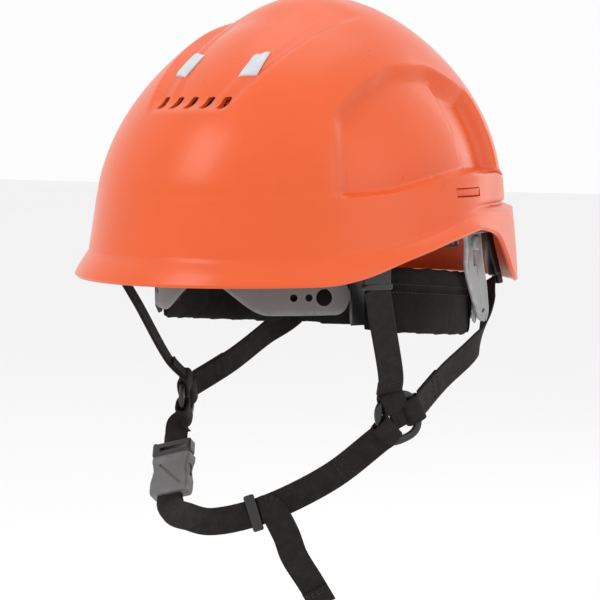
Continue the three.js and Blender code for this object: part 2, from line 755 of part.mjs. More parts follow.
function buckleSocket() {
  const shape = new THREE.Shape([
    new THREE.Vector2(-SOCKET_WIDTH / 2 + 1, -SOCKET_TOP),
    new THREE.Vector2(SOCKET_WIDTH / 2 - 1, -SOCKET_TOP),
    new THREE.Vector2(SOCKET_WIDTH / 2, -SOCKET_TOP + 8),
    new THREE.Vector2(SOCKET_WIDTH / 2 - 0.4, SOCKET_TOP - 6),
    new THREE.Vector2(SOCKET_WIDTH / 2, SOCKET_TOP),
    new THREE.Vector2(-SOCKET_WIDTH / 2, SOCKET_TOP),
    new THREE.Vector2(-SOCKET_WIDTH / 2 + 0.4, SOCKET_TOP - 6),
    new THREE.Vector2(-SOCKET_WIDTH / 2, -SOCKET_TOP + 8),
  ]);
  const body = solid(new THREE.ExtrudeGeometry(shape, { depth: SOCKET_THICKNESS, bevelEnabled: false })
    .translate(0, 0, -SOCKET_THICKNESS / 2)
    .rotateX(Math.PI / 2));
  const cavityLength = SOCKET_LENGTH - SOCKET_FLOOR;
  const cavity = box(
    SOCKET_CAVITY_WIDTH, SOCKET_CAVITY_THICKNESS, cavityLength + 1,
    0, 0, SOCKET_TOP - (cavityLength - 1) / 2,
  );
  const windows = box(SOCKET_WIDTH + 4, SOCKET_CAVITY_THICKNESS, 8, 0, 0, 2);
  return geometryOf(body.subtract(solid(cavity)).subtract(solid(windows)));
}

function buckleTongue() {
  const foot = SOCKET_TOP + CLEARANCE;
  const body = solid(box(TONGUE_WIDTH, 6, TONGUE_LENGTH, 0, 0, foot + TONGUE_LENGTH / 2));
  const slot = box(WEBBING_WIDTH + 2, 8, 2.4, 0, 0, foot + TONGUE_LENGTH / 2);
  const guide = box(5, 3, PRONG_LENGTH + 2, 0, 0, foot - PRONG_LENGTH / 2 + 0.5);
  return geometryOf(body.subtract(solid(slot)).add(solid(guide)));
}

// A sprung arm of the tongue, with its catch facing out.
function prong(side) {
  const top = SOCKET_TOP;
  const outline = new THREE.Shape([
    new THREE.Vector2(-PRONG_WIDTH / 2, 0),
    new THREE.Vector2(-PRONG_WIDTH / 2, -PRONG_LENGTH),
    new THREE.Vector2(PRONG_WIDTH / 2 - 0.6, -PRONG_LENGTH),
    new THREE.Vector2(PRONG_WIDTH / 2 + 0.7, -PRONG_LENGTH + 3),
    new THREE.Vector2(PRONG_WIDTH / 2 + 0.7, -PRONG_LENGTH + 6),
    new THREE.Vector2(PRONG_WIDTH / 2 - 0.4, -PRONG_LENGTH + 7),
    new THREE.Vector2(PRONG_WIDTH / 2 - 0.4, 0),
  ]);
  return new THREE.ExtrudeGeometry(outline, { depth: 3.6, bevelEnabled: false })
    .translate(0, 0, -1.8)
    .rotateX(Math.PI / 2)
    .rotateZ(side < 0 ? Math.PI : 0)
    .translate(side * PRONG_OFFSET, 0, top);
}

function buckleStrap() {
  const top = SOCKET_TOP + TONGUE_LENGTH + 2 * CLEARANCE;
  const end = onBuckle(0, 0, top);
  const before = onBuckle(0, 0, top + 7);
  const start = dividerEnd(-1, before);
  const across = BUCKLE_ACROSS.toArray();
  return webbing([start, before, end], [[-0.2, 0.9, -0.3], across, across], 6);
}

const CHIN_ROUTE = [
  [-41, -70, -133.5], [-25, -78.5, -134], [-5, -82, -134.5], [16, -67, -129],
  [45, -41, -111],
];
const RETURN_END = 0.5; // share of the chin strap's length that the inner layer runs along
const KEEPER_PLACE = 0.7; // share of the chin strap's length at which the keeper sits

function chinPath() {
  const start = onBuckle(0, -1.6, -SOCKET_TOP - CLEARANCE);
  const below = onBuckle(0, -1.6, -SOCKET_TOP - 4);
  const points = [start, below, ...CHIN_ROUTE, dividerEnd(1, CHIN_ROUTE[CHIN_ROUTE.length - 1])];
  const across = BUCKLE_ACROSS.toArray();
  const acrosses = [
    across, across, [0.7, 0.35, 0.6], [0.2, 0.35, 0.9], [0, 0.3, 0.95],
    [-0.25, 0.1, 0.95], [-0.3, -0.1, 0.9], [-0.3, -0.1, 0.9],
  ];
  return { points, acrosses };
}

function chinStrap() {
  const { points, acrosses } = chinPath();
  return webbing(points, acrosses, 40);
}

// The loose inner layer of the chin strap, between the socket and the chin.
function strapReturn() {
  const { points, acrosses } = chinPath();
  const lift = (t) => -2.1 - 2.4 * Math.sin(Math.PI * t / RETURN_END);
  return webbing(points, acrosses, 14, RETURN_END, lift);
}

function keeperFrame() {
  const { points, acrosses } = chinPath();
  const { centre, tangent, across, normal } = bandFrame(points, acrosses, KEEPER_PLACE);
  return new THREE.Matrix4().makeBasis(across, normal, tangent).setPosition(centre);
}

const KEEPER_LENGTH = 6;
const KEEPER_WALL = 1.8;

function strapKeeper() {
  const [slotWidth, slotHeight] = [WEBBING_WIDTH + 1.6, WEBBING_THICKNESS + 1.6];
  const frame = solid(box(slotWidth + 2 * KEEPER_WALL, slotHeight + 2 * KEEPER_WALL, KEEPER_LENGTH));
  const slot = solid(box(slotWidth, slotHeight, KEEPER_LENGTH + 2));
  return geometryOf(frame.subtract(slot)).applyMatrix4(keeperFrame());
}

function strapTail() {
  const onKeeper = (x, y, z) => new THREE.Vector3(x, y, z).applyMatrix4(keeperFrame()).toArray();
  const points = [
    onKeeper(0, 2.2, KEEPER_LENGTH / 2 + 1), onKeeper(-0.3, 3, 9),
    [33, -66, -139], [36, -62, -152], [41, -54, -167], [45, -47, -180],
  ];
  const acrosses = [
    [-0.1, 0.2, 0.95], [0, 0.3, 0.9], [0.4, 0.5, 0.6], [0.75, 0.55, 0.2], [0.82, 0.57, 0],
    [0.82, 0.57, 0],
  ];
  return webbing(points, acrosses, 16);
}

// ---------------------------------------------------------------- assembly

const helmet = new THREE.Group();

function add(name, geometry, look, parent = helmet) {
  const mesh = new THREE.Mesh(geometry, look);
  mesh.name = name;
  parent.add(mesh);
}

const SIDES = [['left', 1], ['right', -1]];
const room = shellVolume(SHELL_WALL + 3 * CLEARANCE);
const cornerRoom = shellVolume(SHELL_WALL + 4.5 * CLEARANCE);
const surround = shellVolume(-CLEARANCE);

add('shell', shell(), GLOSS_ORANGE());
add('vent_screen', ventScreen(), MESH_METAL());
add(
  'headband',
  ringBand(0, BAND_THICKNESS, -144, -36, BAND_TOP - BAND_HEIGHT, BAND_TOP, 28, browLift),
  GREY_PLASTIC(),
);
add(
  'brow_pad',
  ringBand(
    -BAND_THICKNESS / 2 - CLEARANCE - 2.5, 5, -130, -50,
    BAND_TOP - BAND_HEIGHT + 2, BAND_TOP - 2, 22, browLift,
  ),
  PAD_FABRIC(),
);
add('crown_strap_front_left', crownStrap(-CROWN_ANGLE, CROWN_REACH, CROWN_FOOT, 0), WEBBING());
add('crown_strap_front_right', crownStrap(CROWN_ANGLE, CROWN_REACH, CROWN_FOOT, 1), WEBBING());
add('crown_strap_side', crownStrap(0, CRADLE_PIVOT.x + 0.6, 50, 2), WEBBING());
add('crown_pad', crownPad(), PAD_FABRIC());
add('nape_band', napeBand(), CLEAR_GREY());
add('nape_pad', napePad(), PAD_FABRIC());
add('ratchet_housing', ratchetHousing(), BLACK_PLASTIC());
add('ratchet_cover', ratchetCover(), BLACK_PLASTIC());
add('ratchet_knob', ratchetKnob(), BLACK_PLASTIC());
add('ratchet_pinion', ratchetPinion(), BLACK_PLASTIC());

for (const [word, side] of SIDES) {
  add(`accessory_plug_${word}`, accessoryPlug(side), GLOSS_ORANGE());
  add(`marker_insert_${word}`, markerInsert(surround, side), PALE_INSERT());
  add(`hanger_side_${word}`, sideHanger(room, side), GREY_PLASTIC());
  add(`hanger_front_${word}`, cornerHanger(cornerRoom, side, -1), GREY_PLASTIC());
  add(`hanger_rear_${word}`, cornerHanger(cornerRoom, side, 1), GREY_PLASTIC());
  add(`temple_link_${word}`, templeLink(side), GREY_PLASTIC());
  add(`side_band_${word}`, sideBand(side), WEBBING());
  add(`temple_bracket_${word}`, templeBracket(side), BLACK_PLASTIC());
  add(`side_pad_${word}`, sidePad(side), PAD_FABRIC());
  add(`arm_${word}`, arm(side), CLEAR_GREY());
  add(`arm_button_${word}`, armButton(side), CLEAR_GREY());
  add(`rack_${word}`, rack(side), GREY_PLASTIC());
  add(`strap_anchor_front_${word}`, frontAnchor(room, side), BLACK_PLASTIC());
  add(`strap_anchor_rear_${word}`, rearAnchor(room, side), BLACK_PLASTIC());
  add(`strap_divider_${word}`, dividerFrame(side), BLACK_PLASTIC());
  add(`front_strap_${word}`, frontStrap(side), WEBBING());
  add(`rear_strap_${word}`, rearStrap(side), WEBBING());
}

add('buckle_strap', buckleStrap(), WEBBING());
add('chin_strap', chinStrap(), WEBBING());
add('strap_return', strapReturn(), WEBBING());
add('strap_keeper', strapKeeper(), BLACK_PLASTIC());
add('strap_tail', strapTail(), WEBBING());

const buckle = new THREE.Group();
buckle.applyMatrix4(BUCKLE_PLACE);
helmet.add(buckle);
add('buckle_socket', buckleSocket(), GREY_PLASTIC(), buckle);
add('buckle_tongue', buckleTongue(), BLACK_PLASTIC(), buckle);
add('buckle_prong_left', prong(1), BLACK_PLASTIC(), buckle);
add('buckle_prong_right', prong(-1), BLACK_PLASTIC(), buckle);

export default helmet;
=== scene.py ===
"""Climbing helmet for tree work: a vented orange shell over a textile suspension, a headband with a
ratchet cradle, and a webbing chin harness with a side-release buckle. Lengths are in metres."""

import math

import bmesh
import bpy
import numpy as np
from bpy.props import FloatProperty, FloatVectorProperty, IntProperty, PointerProperty
from mathutils import Matrix, Vector


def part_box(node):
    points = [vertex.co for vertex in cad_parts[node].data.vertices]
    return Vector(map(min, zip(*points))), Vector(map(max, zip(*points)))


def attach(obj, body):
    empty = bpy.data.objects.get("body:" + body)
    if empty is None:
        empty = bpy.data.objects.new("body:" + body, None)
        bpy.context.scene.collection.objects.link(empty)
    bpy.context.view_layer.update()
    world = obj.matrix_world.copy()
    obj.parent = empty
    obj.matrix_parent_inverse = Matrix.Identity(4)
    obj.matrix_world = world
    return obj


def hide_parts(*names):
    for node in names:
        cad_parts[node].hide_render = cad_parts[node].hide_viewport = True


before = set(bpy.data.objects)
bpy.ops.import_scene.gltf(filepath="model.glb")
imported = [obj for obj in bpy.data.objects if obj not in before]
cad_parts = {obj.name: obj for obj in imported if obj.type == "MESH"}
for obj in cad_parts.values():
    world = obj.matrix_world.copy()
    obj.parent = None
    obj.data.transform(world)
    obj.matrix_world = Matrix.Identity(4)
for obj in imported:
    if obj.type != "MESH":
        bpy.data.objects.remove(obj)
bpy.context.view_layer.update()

bl_info = {
    "name": "Climbing Helmet",
    "version": (1, 0, 0),
    "blender": (4, 5, 0),
    "location": "View3D > Sidebar > Helmet",
    "description": "Builds a climbing helmet with its suspension, headband and chin harness",
    "category": "Object",
}

SIDES = (("left", 1), ("right", -1))
MM = 0.001


# ---------------------------------------------------------------- sizes and colours


def colour_property(name, description, default):
    return FloatVectorProperty(
        name=name, description=description, default=default, subtype="COLOR", min=0, max=1
    )


def length_property(name, description, default):
    return FloatProperty(
        name=name, description=description, default=default, min=0, unit="LENGTH", subtype="DISTANCE"
    )


class HelmetSizes(bpy.types.PropertyGroup):
    shell_wall: length_property("Shell wall", "Thickness of the shell", 0.0028)
    webbing_width: length_property("Webbing width", "Width of the harness straps", 0.015)
    webbing_thickness: length_property("Webbing thickness", "Thickness of the harness straps", 0.0015)
    screen_pitch: length_property("Screen pitch", "Spacing of the wires behind the vents", 0.0016)
    screen_wire: length_property("Screen wire", "Diameter of the wires behind the vents", 0.0005)
    stitch_length: length_property("Stitch length", "Length of one stitch", 0.0021)
    stitch_pitch: length_property("Stitch pitch", "Spacing of the stitches in a row", 0.0029)
    divider_bar: length_property("Divider bar", "Width of the strap divider's bar", 0.0042)
    knob_ribs: IntProperty(name="Knob ribs", description="Grip ribs on the ratchet knob", default=24, min=3)
    pad_voxel: length_property("Pad voxel", "Coarsest remesh of a pad before it is filled", 0.004)
    pad_swell: length_property("Pad swell", "Most that the filling moves a pad's face", 0.0011)


class HelmetColours(bpy.types.PropertyGroup):
    shell: colour_property("Shell", "Gloss shell", (0.77, 0.096, 0.009))
    insert: colour_property("Inserts", "Pale inserts of the front panel", (0.62, 0.66, 0.70))
    screen: colour_property("Screen", "Wire mesh behind the vents", (0.012, 0.012, 0.013))
    webbing: colour_property("Webbing", "Harness straps", (0.0125, 0.0108, 0.0096))
    textile: colour_property("Suspension", "Textile straps over the head", (0.022, 0.022, 0.024))
    pad: colour_property("Pads", "Cover of the pads", (0.0072, 0.0062, 0.0054))
    band: colour_property("Headband", "Headband and hangers", (0.15, 0.15, 0.15))
    cradle: colour_property("Cradle", "Clear grey arms and nape band", (0.30, 0.30, 0.305))
    buckle: colour_property("Buckle", "Satin grey socket", (0.125, 0.125, 0.125))
    black: colour_property("Black plastic", "Dividers, tongue, anchors and ratchet", (0.008, 0.008, 0.0085))
    thread: colour_property("Thread", "Stitching", (0.04, 0.037, 0.034))
    floor: colour_property("Floor", "Floor under the helmet", (0.9, 0.9, 0.9))


# ---------------------------------------------------------------- shader groups


def new_group(name, inputs, outputs):
    tree = bpy.data.node_groups.new(name, "ShaderNodeTree")
    for label, kind, default in inputs:
        socket = tree.interface.new_socket(label, in_out="INPUT", socket_type=kind)
        if default is not None:
            socket.default_value = default
    for label in outputs:
        tree.interface.new_socket(label, in_out="OUTPUT", socket_type="NodeSocketFloat")
    return tree, tree.nodes.new("NodeGroupInput"), tree.nodes.new("NodeGroupOutput")


def add_math(tree, operation, first, second=None):
    node = tree.nodes.new("ShaderNodeMath")
    node.operation = operation
    for socket, value in zip(node.inputs, (first, second)):
        if value is None:
            continue
        if isinstance(value, (int, float)):
            socket.default_value = value
        else:
            tree.links.new(value, socket)
    return node.outputs[0]


def add_noise(tree, vector, scale, detail, roughness=0.5):
    node = tree.nodes.new("ShaderNodeTexNoise")
    node.inputs["Detail"].default_value = detail
    node.inputs["Roughness"].default_value = roughness
    tree.links.new(vector, node.inputs["Vector"])
    if isinstance(scale, (int, float)):
        node.inputs["Scale"].default_value = scale
    else:
        tree.links.new(scale, node.inputs["Scale"])
    return node.outputs[0]


def add_range(tree, value, low, high, to_low=0.0, to_high=1.0):
    node = tree.nodes.new("ShaderNodeMapRange")
    tree.links.new(value, node.inputs["Value"])
    for label, number in (("From Min", low), ("From Max", high), ("To Min", to_low), ("To Max", to_high)):
        node.inputs[label].default_value = number
    return node.outputs[0]


def moulded_grain():
    """Fine moulded texture and slow cloudiness of a plastic surface."""
    tree, given, result = new_group(
        "moulded_grain",
        [
            ("Vector", "NodeSocketVector", None),
            ("Grain Scale", "NodeSocketFloat", 900.0),
            ("Cloud Scale", "NodeSocketFloat", 25.0),
        ],
        ["Height", "Cloud"],
    )
    grain = add_noise(tree, given.outputs["Vector"], given.outputs["Grain Scale"], 3.0)
    cloud = add_noise(tree, given.outputs["Vector"], given.outputs["Cloud Scale"], 4.0, 0.6)
    tree.links.new(grain, result.inputs["Height"])
    tree.links.new(add_range(tree, cloud, 0.3, 0.7), result.inputs["Cloud"])
    return tree


def worn_edges():
    """Mask of the outer edges, where handling polishes and lightens a surface."""
    tree, given, result = new_group(
        "worn_edges", [("Vector", "NodeSocketVector", None), ("Reach", "NodeSocketFloat", 0.06)], ["Mask"]
    )
    geometry = tree.nodes.new("ShaderNodeNewGeometry")
    edge = add_math(tree, "SUBTRACT", geometry.outputs["Pointiness"], 0.5)
    edge = add_math(tree, "DIVIDE", edge, given.outputs["Reach"])
    broken = add_range(tree, add_noise(tree, given.outputs["Vector"], 240.0, 5.0, 0.65), 0.35, 0.62)
    mask = add_math(tree, "MULTIPLY", edge, broken)
    tree.links.new(add_range(tree, mask, 0.05, 1.0), result.inputs["Mask"])
    return tree


def settled_dust():
    """Mask of the thin dust that lies on faces turned upwards."""
    tree, given, result = new_group(
        "settled_dust", [("Vector", "NodeSocketVector", None), ("Amount", "NodeSocketFloat", 0.1)], ["Mask"]
    )
    geometry = tree.nodes.new("ShaderNodeNewGeometry")
    separate = tree.nodes.new("ShaderNodeSeparateXYZ")
    tree.links.new(geometry.outputs["Normal"], separate.inputs[0])
    facing = add_range(tree, separate.outputs["Z"], 0.2, 1.0)
    patches = add_range(tree, add_noise(tree, given.outputs["Vector"], 60.0, 6.0, 0.7), 0.4, 0.75)
    mask = add_math(tree, "MULTIPLY", facing, patches)
    tree.links.new(add_math(tree, "MULTIPLY", mask, given.outputs["Amount"]), result.inputs["Mask"])
    return tree


def plain_weave():
    """Crossed threads over a UV map in metres: the first direction across, the second along."""
    tree, given, result = new_group(
        "plain_weave",
        [
            ("Vector", "NodeSocketVector", None),
            ("Threads Across", "NodeSocketFloat", 1400.0),
            ("Threads Along", "NodeSocketFloat", 900.0),
        ],
        ["Height", "Shade"],
    )
    separate = tree.nodes.new("ShaderNodeSeparateXYZ")
    tree.links.new(given.outputs["Vector"], separate.inputs[0])
    waves = []
    for axis, threads in (("X", "Threads Across"), ("Y", "Threads Along")):
        turn = add_math(tree, "MULTIPLY", separate.outputs[axis], given.outputs[threads])
        waves.append(add_math(tree, "SINE", add_math(tree, "MULTIPLY", turn, math.pi)))
    over = add_math(tree, "MULTIPLY", waves[0], waves[1])
    over = add_range(tree, over, -1.0, 1.0)
    warp = add_math(tree, "MULTIPLY", add_math(tree, "ABSOLUTE", waves[0]), over)
    under = add_math(tree, "SUBTRACT", 1.0, over)
    weft = add_math(tree, "MULTIPLY", add_math(tree, "ABSOLUTE", waves[1]), under)
    height = add_math(tree, "ADD", warp, weft)
    fuzz = add_noise(tree, given.outputs["Vector"], 2600.0, 2.0)
    height = add_math(tree, "ADD", height, add_math(tree, "MULTIPLY", fuzz, 0.35))
    tree.links.new(height, result.inputs["Height"])
    # Shade: painted shade that darkens the gaps between the threads and lightens their crests, by the weave's
    # height, times a random uneven tone.
    uneven = add_noise(tree, given.outputs["Vector"], 160.0, 5.0, 0.65)
    shade = add_math(tree, "MULTIPLY", add_range(tree, height, 0.1, 1.2), uneven)
    tree.links.new(add_range(tree, shade, 0.05, 0.6), result.inputs["Shade"])
    return tree


def knitted_cloth():
    """Small loops of a knitted cover, on the piece's own place."""
    tree, given, result = new_group(
        "knitted_cloth",
        [("Vector", "NodeSocketVector", None), ("Loops", "NodeSocketFloat", 900.0)],
        ["Height", "Shade"],
    )
    cells = tree.nodes.new("ShaderNodeTexVoronoi")
    tree.links.new(given.outputs["Vector"], cells.inputs["Vector"])
    tree.links.new(given.outputs["Loops"], cells.inputs["Scale"])
    cells.inputs["Randomness"].default_value = 0.35
    fuzz = add_noise(tree, given.outputs["Vector"], 2200.0, 4.0, 0.7)
    height = add_math(tree, "SUBTRACT", add_math(tree, "MULTIPLY", fuzz, 0.6), cells.outputs["Distance"])
    tree.links.new(height, result.inputs["Height"])
    uneven = add_noise(tree, given.outputs["Vector"], 45.0, 5.0, 0.6)
    tree.links.new(add_range(tree, uneven, 0.3, 0.7), result.inputs["Shade"])
    return tree


def place_group(tree, group, vector, **values):
    node = tree.nodes.new("ShaderNodeGroup")
    node.node_tree = group
    tree.links.new(vector, node.inputs["Vector"])
    for label, number in values.items():
        node.inputs[label.replace("_", " ").title()].default_value = number
    return node


def mix_colour(tree, factor, first, second):
    node = tree.nodes.new("ShaderNodeMix")
    node.data_type = "RGBA"
    tree.links.new(factor, node.inputs[0])
    for socket, value in ((node.inputs[6], first), (node.inputs[7], second)):
        if isinstance(value, bpy.types.NodeSocket):
            tree.links.new(value, socket)
        else:
            socket.default_value = (*value, 1.0)
    return node.outputs[2]


def shade_of(colour, amount):
    """The colour made lighter (above 1) or darker (below 1)."""
    return tuple(min(1.0, part * amount + max(0.0, amount - 1) * 0.003) for part in colour)


GROUPS = {}
MATERIALS = {}


def start_material(name):
    material = bpy.data.materials.new(name)
    material.use_nodes = True
    tree = material.node_tree
    shader = next(n for n in tree.nodes if n.type == "BSDF_PRINCIPLED")
    return material, tree, shader


def object_place(tree):
    return tree.nodes.new("ShaderNodeTexCoord").outputs["Object"]


def set_inputs(node, values):
    for label, value in values.items():
        node.inputs[label].default_value = value


def add_bump(tree, shader, height, distance):
    bump = tree.nodes.new("ShaderNodeBump")
    set_inputs(bump, {"Distance": distance, "Strength": 1.0})
    tree.links.new(height, bump.inputs["Height"])
    tree.links.new(bump.outputs["Normal"], shader.inputs["Normal"])


def plastic(name, colour, roughness, grain, depth, wear=0.25, dust=0.05, coat=0.0, spread=0.12, clear=0.0):
    """Moulded plastic: fine grain, slightly uneven tone, edges lightened by use, a little dust."""
    material, tree, shader = start_material(name)
    place = object_place(tree)
    moulded = place_group(tree, GROUPS["grain"], place, grain_scale=grain)
    edges = place_group(tree, GROUPS["edges"], place)
    dusty = place_group(tree, GROUPS["dust"], place, amount=dust)
    darker, lighter = shade_of(colour, 1 - spread), shade_of(colour, 1 + spread)
    base = mix_colour(tree, moulded.outputs["Cloud"], darker, lighter)
    worn = add_math(tree, "MULTIPLY", edges.outputs["Mask"], wear)
    base = mix_colour(tree, worn, base, shade_of(colour, 2.6))
    base = mix_colour(tree, dusty.outputs["Mask"], base, (0.3, 0.28, 0.26))
    tree.links.new(base, shader.inputs["Base Color"])
    uneven = add_range(tree, moulded.outputs["Cloud"], 0.0, 1.0, roughness * 0.85, roughness * 1.18)
    rough = add_math(tree, "ADD", uneven, add_math(tree, "MULTIPLY", dusty.outputs["Mask"], 0.5))
    tree.links.new(rough, shader.inputs["Roughness"])
    add_bump(tree, shader, moulded.outputs["Height"], depth)
    set_inputs(shader, {"Coat Weight": coat, "Coat Roughness": 0.06, "IOR": 1.49})
    if clear:
        set_inputs(shader, {
            "Subsurface Weight": clear, "Subsurface Radius": (0.004, 0.004, 0.0045), "Subsurface Scale": 1.0,
        })
    return material


def woven(name, colour, across, along, depth):
    """Flat webbing or tape: crossed threads that follow the strap, with light fuzz."""
    material, tree, shader = start_material(name)
    place = tree.nodes.new("ShaderNodeUVMap")
    place.uv_map = "strap"
    weave = place_group(
        tree, GROUPS["weave"], place.outputs["UV"], threads_across=across, threads_along=along
    )
    lying = object_place(tree)
    dusty = place_group(tree, GROUPS["dust"], lying, amount=0.05)
    # Painted shade: the weave's Shade darkens the gaps between the threads and lightens their crests, mixed
    # with random uneven tone.
    base = mix_colour(tree, weave.outputs["Shade"], shade_of(colour, 0.55), shade_of(colour, 1.75))
    base = mix_colour(tree, dusty.outputs["Mask"], base, (0.10, 0.095, 0.09))
    tree.links.new(base, shader.inputs["Base Color"])
    tree.links.new(add_range(tree, weave.outputs["Shade"], 0.0, 1.0, 0.92, 0.66), shader.inputs["Roughness"])
    add_bump(tree, shader, weave.outputs["Height"], depth)
    set_inputs(shader, {"Sheen Weight": 0.03, "Sheen Roughness": 0.45, "Specular IOR Level": 0.2})
    return material


def knitted(name, colour, loops, depth):
    """Knitted pad cover: small loops, soft sheen and patches worn lighter."""
    material, tree, shader = start_material(name)
    place = object_place(tree)
    knit = place_group(tree, GROUPS["knit"], place, loops=loops)
    dusty = place_group(tree, GROUPS["dust"], place, amount=0.06)
    base = mix_colour(tree, knit.outputs["Shade"], shade_of(colour, 0.7), shade_of(colour, 1.5))
    base = mix_colour(tree, dusty.outputs["Mask"], base, (0.08, 0.075, 0.07))
    tree.links.new(base, shader.inputs["Base Color"])
    tree.links.new(add_range(tree, knit.outputs["Shade"], 0.0, 1.0, 0.98, 0.82), shader.inputs["Roughness"])
    add_bump(tree, shader, knit.outputs["Height"], depth)
    set_inputs(shader, {"Sheen Weight": 0.03, "Sheen Roughness": 0.5, "Specular IOR Level": 0.15})
    return material


def wire_metal(name, colour):
    """Blackened wire with small bright rubs."""
    material, tree, shader = start_material(name)
    place = object_place(tree)
    moulded = place_group(tree, GROUPS["grain"], place, grain_scale=1500.0, cloud_scale=120.0)
    base = mix_colour(tree, moulded.outputs["Cloud"], shade_of(colour, 0.8), shade_of(colour, 3.0))
    tree.links.new(base, shader.inputs["Base Color"])
    tree.links.new(add_range(tree, moulded.outputs["Cloud"], 0.0, 1.0, 0.6, 0.4), shader.inputs["Roughness"])
    shader.inputs["Metallic"].default_value = 0.6
    add_bump(tree, shader, moulded.outputs["Height"], 0.00003)
    return material


def make_materials(colours):
    GROUPS["grain"] = moulded_grain()
    GROUPS["edges"] = worn_edges()
    GROUPS["dust"] = settled_dust()
    GROUPS["weave"] = plain_weave()
    GROUPS["knit"] = knitted_cloth()
    MATERIALS.update(
        shell=plastic("gloss_shell", colours.shell, 0.3, 260.0, 0.00001, 0.0, 0.006, 0.08, 0.03),
        insert=plastic("pale_insert", colours.insert, 0.3, 700.0, 0.00002, 0.1, 0.03),
        screen=wire_metal("blackened_wire", colours.screen),
        webbing=woven("harness_webbing", colours.webbing, 1250.0, 900.0, 0.00022),
        textile=woven("suspension_tape", colours.textile, 1500.0, 1100.0, 0.00018),
        thread=woven("sewing_thread", colours.thread, 3500.0, 3500.0, 0.0001),
        pad=knitted("pad_cover", colours.pad, 850.0, 0.0003),
        band=plastic("satin_headband", colours.band, 0.48, 1200.0, 0.00006),
        cradle=plastic("clear_grey_nylon", colours.cradle, 0.3, 900.0, 0.00003, 0.3, 0.03, 0.2, 0.1, 0.25),
        buckle=plastic("satin_buckle", colours.buckle, 0.46, 1400.0, 0.00008, 0.35, 0.06),
        black=plastic("black_acetal", colours.black, 0.3, 1300.0, 0.00005, 0.3, 0.05, 0.15, 0.2),
        matt=plastic("dull_black_nylon", shade_of(colours.black, 1.4), 0.6, 1300.0, 0.00009, 0.3, 0.06),
    )


# ---------------------------------------------------------------- making pieces


def new_piece(name, corners, faces, uvs=None, smooth=True, sharp=35):
    """A mesh object whose faces all point outwards. uvs gives one pair for each corner."""
    mesh = bpy.data.meshes.new(name)
    mesh.from_pydata([tuple(map(float, c)) for c in corners], [], [tuple(map(int, f)) for f in faces])
    if uvs is not None:
        layer = mesh.uv_layers.new(name="strap")
        uvs = np.asarray(uvs, float)
        order = np.zeros(len(mesh.loops), np.int32)
        mesh.loops.foreach_get("vertex_index", order)
        layer.data.foreach_set("uv", uvs[order].ravel())
    piece = bpy.data.objects.new(name, mesh)
    bpy.context.scene.collection.objects.link(piece)
    outwards(mesh)
    finish_shading(mesh, smooth, sharp)
    return piece


def loose_piece(name, corners, edges=()):
    """An object of bare points or edges, for a tree to grow on."""
    mesh = bpy.data.meshes.new(name)
    mesh.from_pydata([tuple(c) for c in corners], edges, [])
    piece = bpy.data.objects.new(name, mesh)
    bpy.context.scene.collection.objects.link(piece)
    return piece


def outwards(mesh):
    work = bmesh.new()
    work.from_mesh(mesh)
    bmesh.ops.remove_doubles(work, verts=work.verts, dist=1e-7)
    bmesh.ops.recalc_face_normals(work, faces=work.faces)
    work.to_mesh(mesh)
    work.free()


def finish_shading(mesh, smooth=True, sharp=35):
    for face in mesh.polygons:
        face.use_smooth = smooth
    if smooth:
        mesh.set_sharp_from_angle(angle=math.radians(sharp))
    mesh.update()


def bake(piece):
    """Turns the piece's live modifiers into its plain mesh."""
    bpy.context.view_layer.update()
    graph = bpy.context.evaluated_depsgraph_get()
    mesh = bpy.data.meshes.new_from_object(piece.evaluated_get(graph), depsgraph=graph)
    old = piece.data
    piece.modifiers.clear()
    piece.data = mesh
    mesh.name = piece.name
    bpy.data.meshes.remove(old)
    return piece


def cut(piece, cutter):
    """Takes the cutter's volume out of the piece."""
    modifier = piece.modifiers.new("cut", "BOOLEAN")
    modifier.operation = "DIFFERENCE"
    modifier.solver = "EXACT"
    modifier.object = cutter
    bake(piece)
    drop(cutter)
    finish_shading(piece.data)
    return piece


def drop(piece):
    mesh = piece.data
    bpy.data.objects.remove(piece)
    bpy.data.meshes.remove(mesh)


def soften(piece, width, segments=3, angle=30, sharp=40):
    modifier = piece.modifiers.new("edges", "BEVEL")
    modifier.width = width
    modifier.segments = segments
    modifier.limit_method = "ANGLE"
    modifier.angle_limit = math.radians(angle)
    modifier.harden_normals = False
    bake(piece)
    finish_shading(piece.data, True, sharp)
    return piece


def join(name, pieces):
    """One mesh object made of several."""
    mesh = bpy.data.meshes.new(name)
    work = bmesh.new()
    for piece in pieces:
        work.from_mesh(piece.data)
    work.to_mesh(mesh)
    work.free()
    for piece in pieces:
        drop(piece)
    whole = bpy.data.objects.new(name, mesh)
    bpy.context.scene.collection.objects.link(whole)
    return whole


def settle(piece, body, slot, material, *replaced):
    """Gives a finished piece its material and its body, and hides the CAD parts it replaces."""
    piece.data.materials.clear()
    piece.data.materials.append(MATERIALS[material])
    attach(piece, body)
    if replaced:
        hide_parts(*replaced)
    return piece


def dress(node, material):
    """Gives a CAD node a detailed material."""
    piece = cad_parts[node]
    piece.data.materials.clear()
    piece.data.materials.append(MATERIALS[material])


def unit(vector):
    vector = np.asarray(vector, float)
    return vector / np.linalg.norm(vector, axis=-1, keepdims=True)


def step(value, low, high):
    share = np.clip((np.asarray(value, float) - low) / (high - low), 0, 1)
    return share * share * (3 - 2 * share)


def tube_faces(rings, around, closed=False):
    """Quads between rings of corners, with end faces unless the tube is closed."""
    faces = []
    last = rings if closed else rings - 1
    for ring in range(last):
        here, there = ring * around, (ring + 1) % rings * around
        for i in range(around):
            k = (i + 1) % around
            faces.append((here + i, here + k, there + k, there + i))
    if not closed:
        faces.append(tuple(range(around))[::-1])
        faces.append(tuple((rings - 1) * around + i for i in range(around)))
    return faces


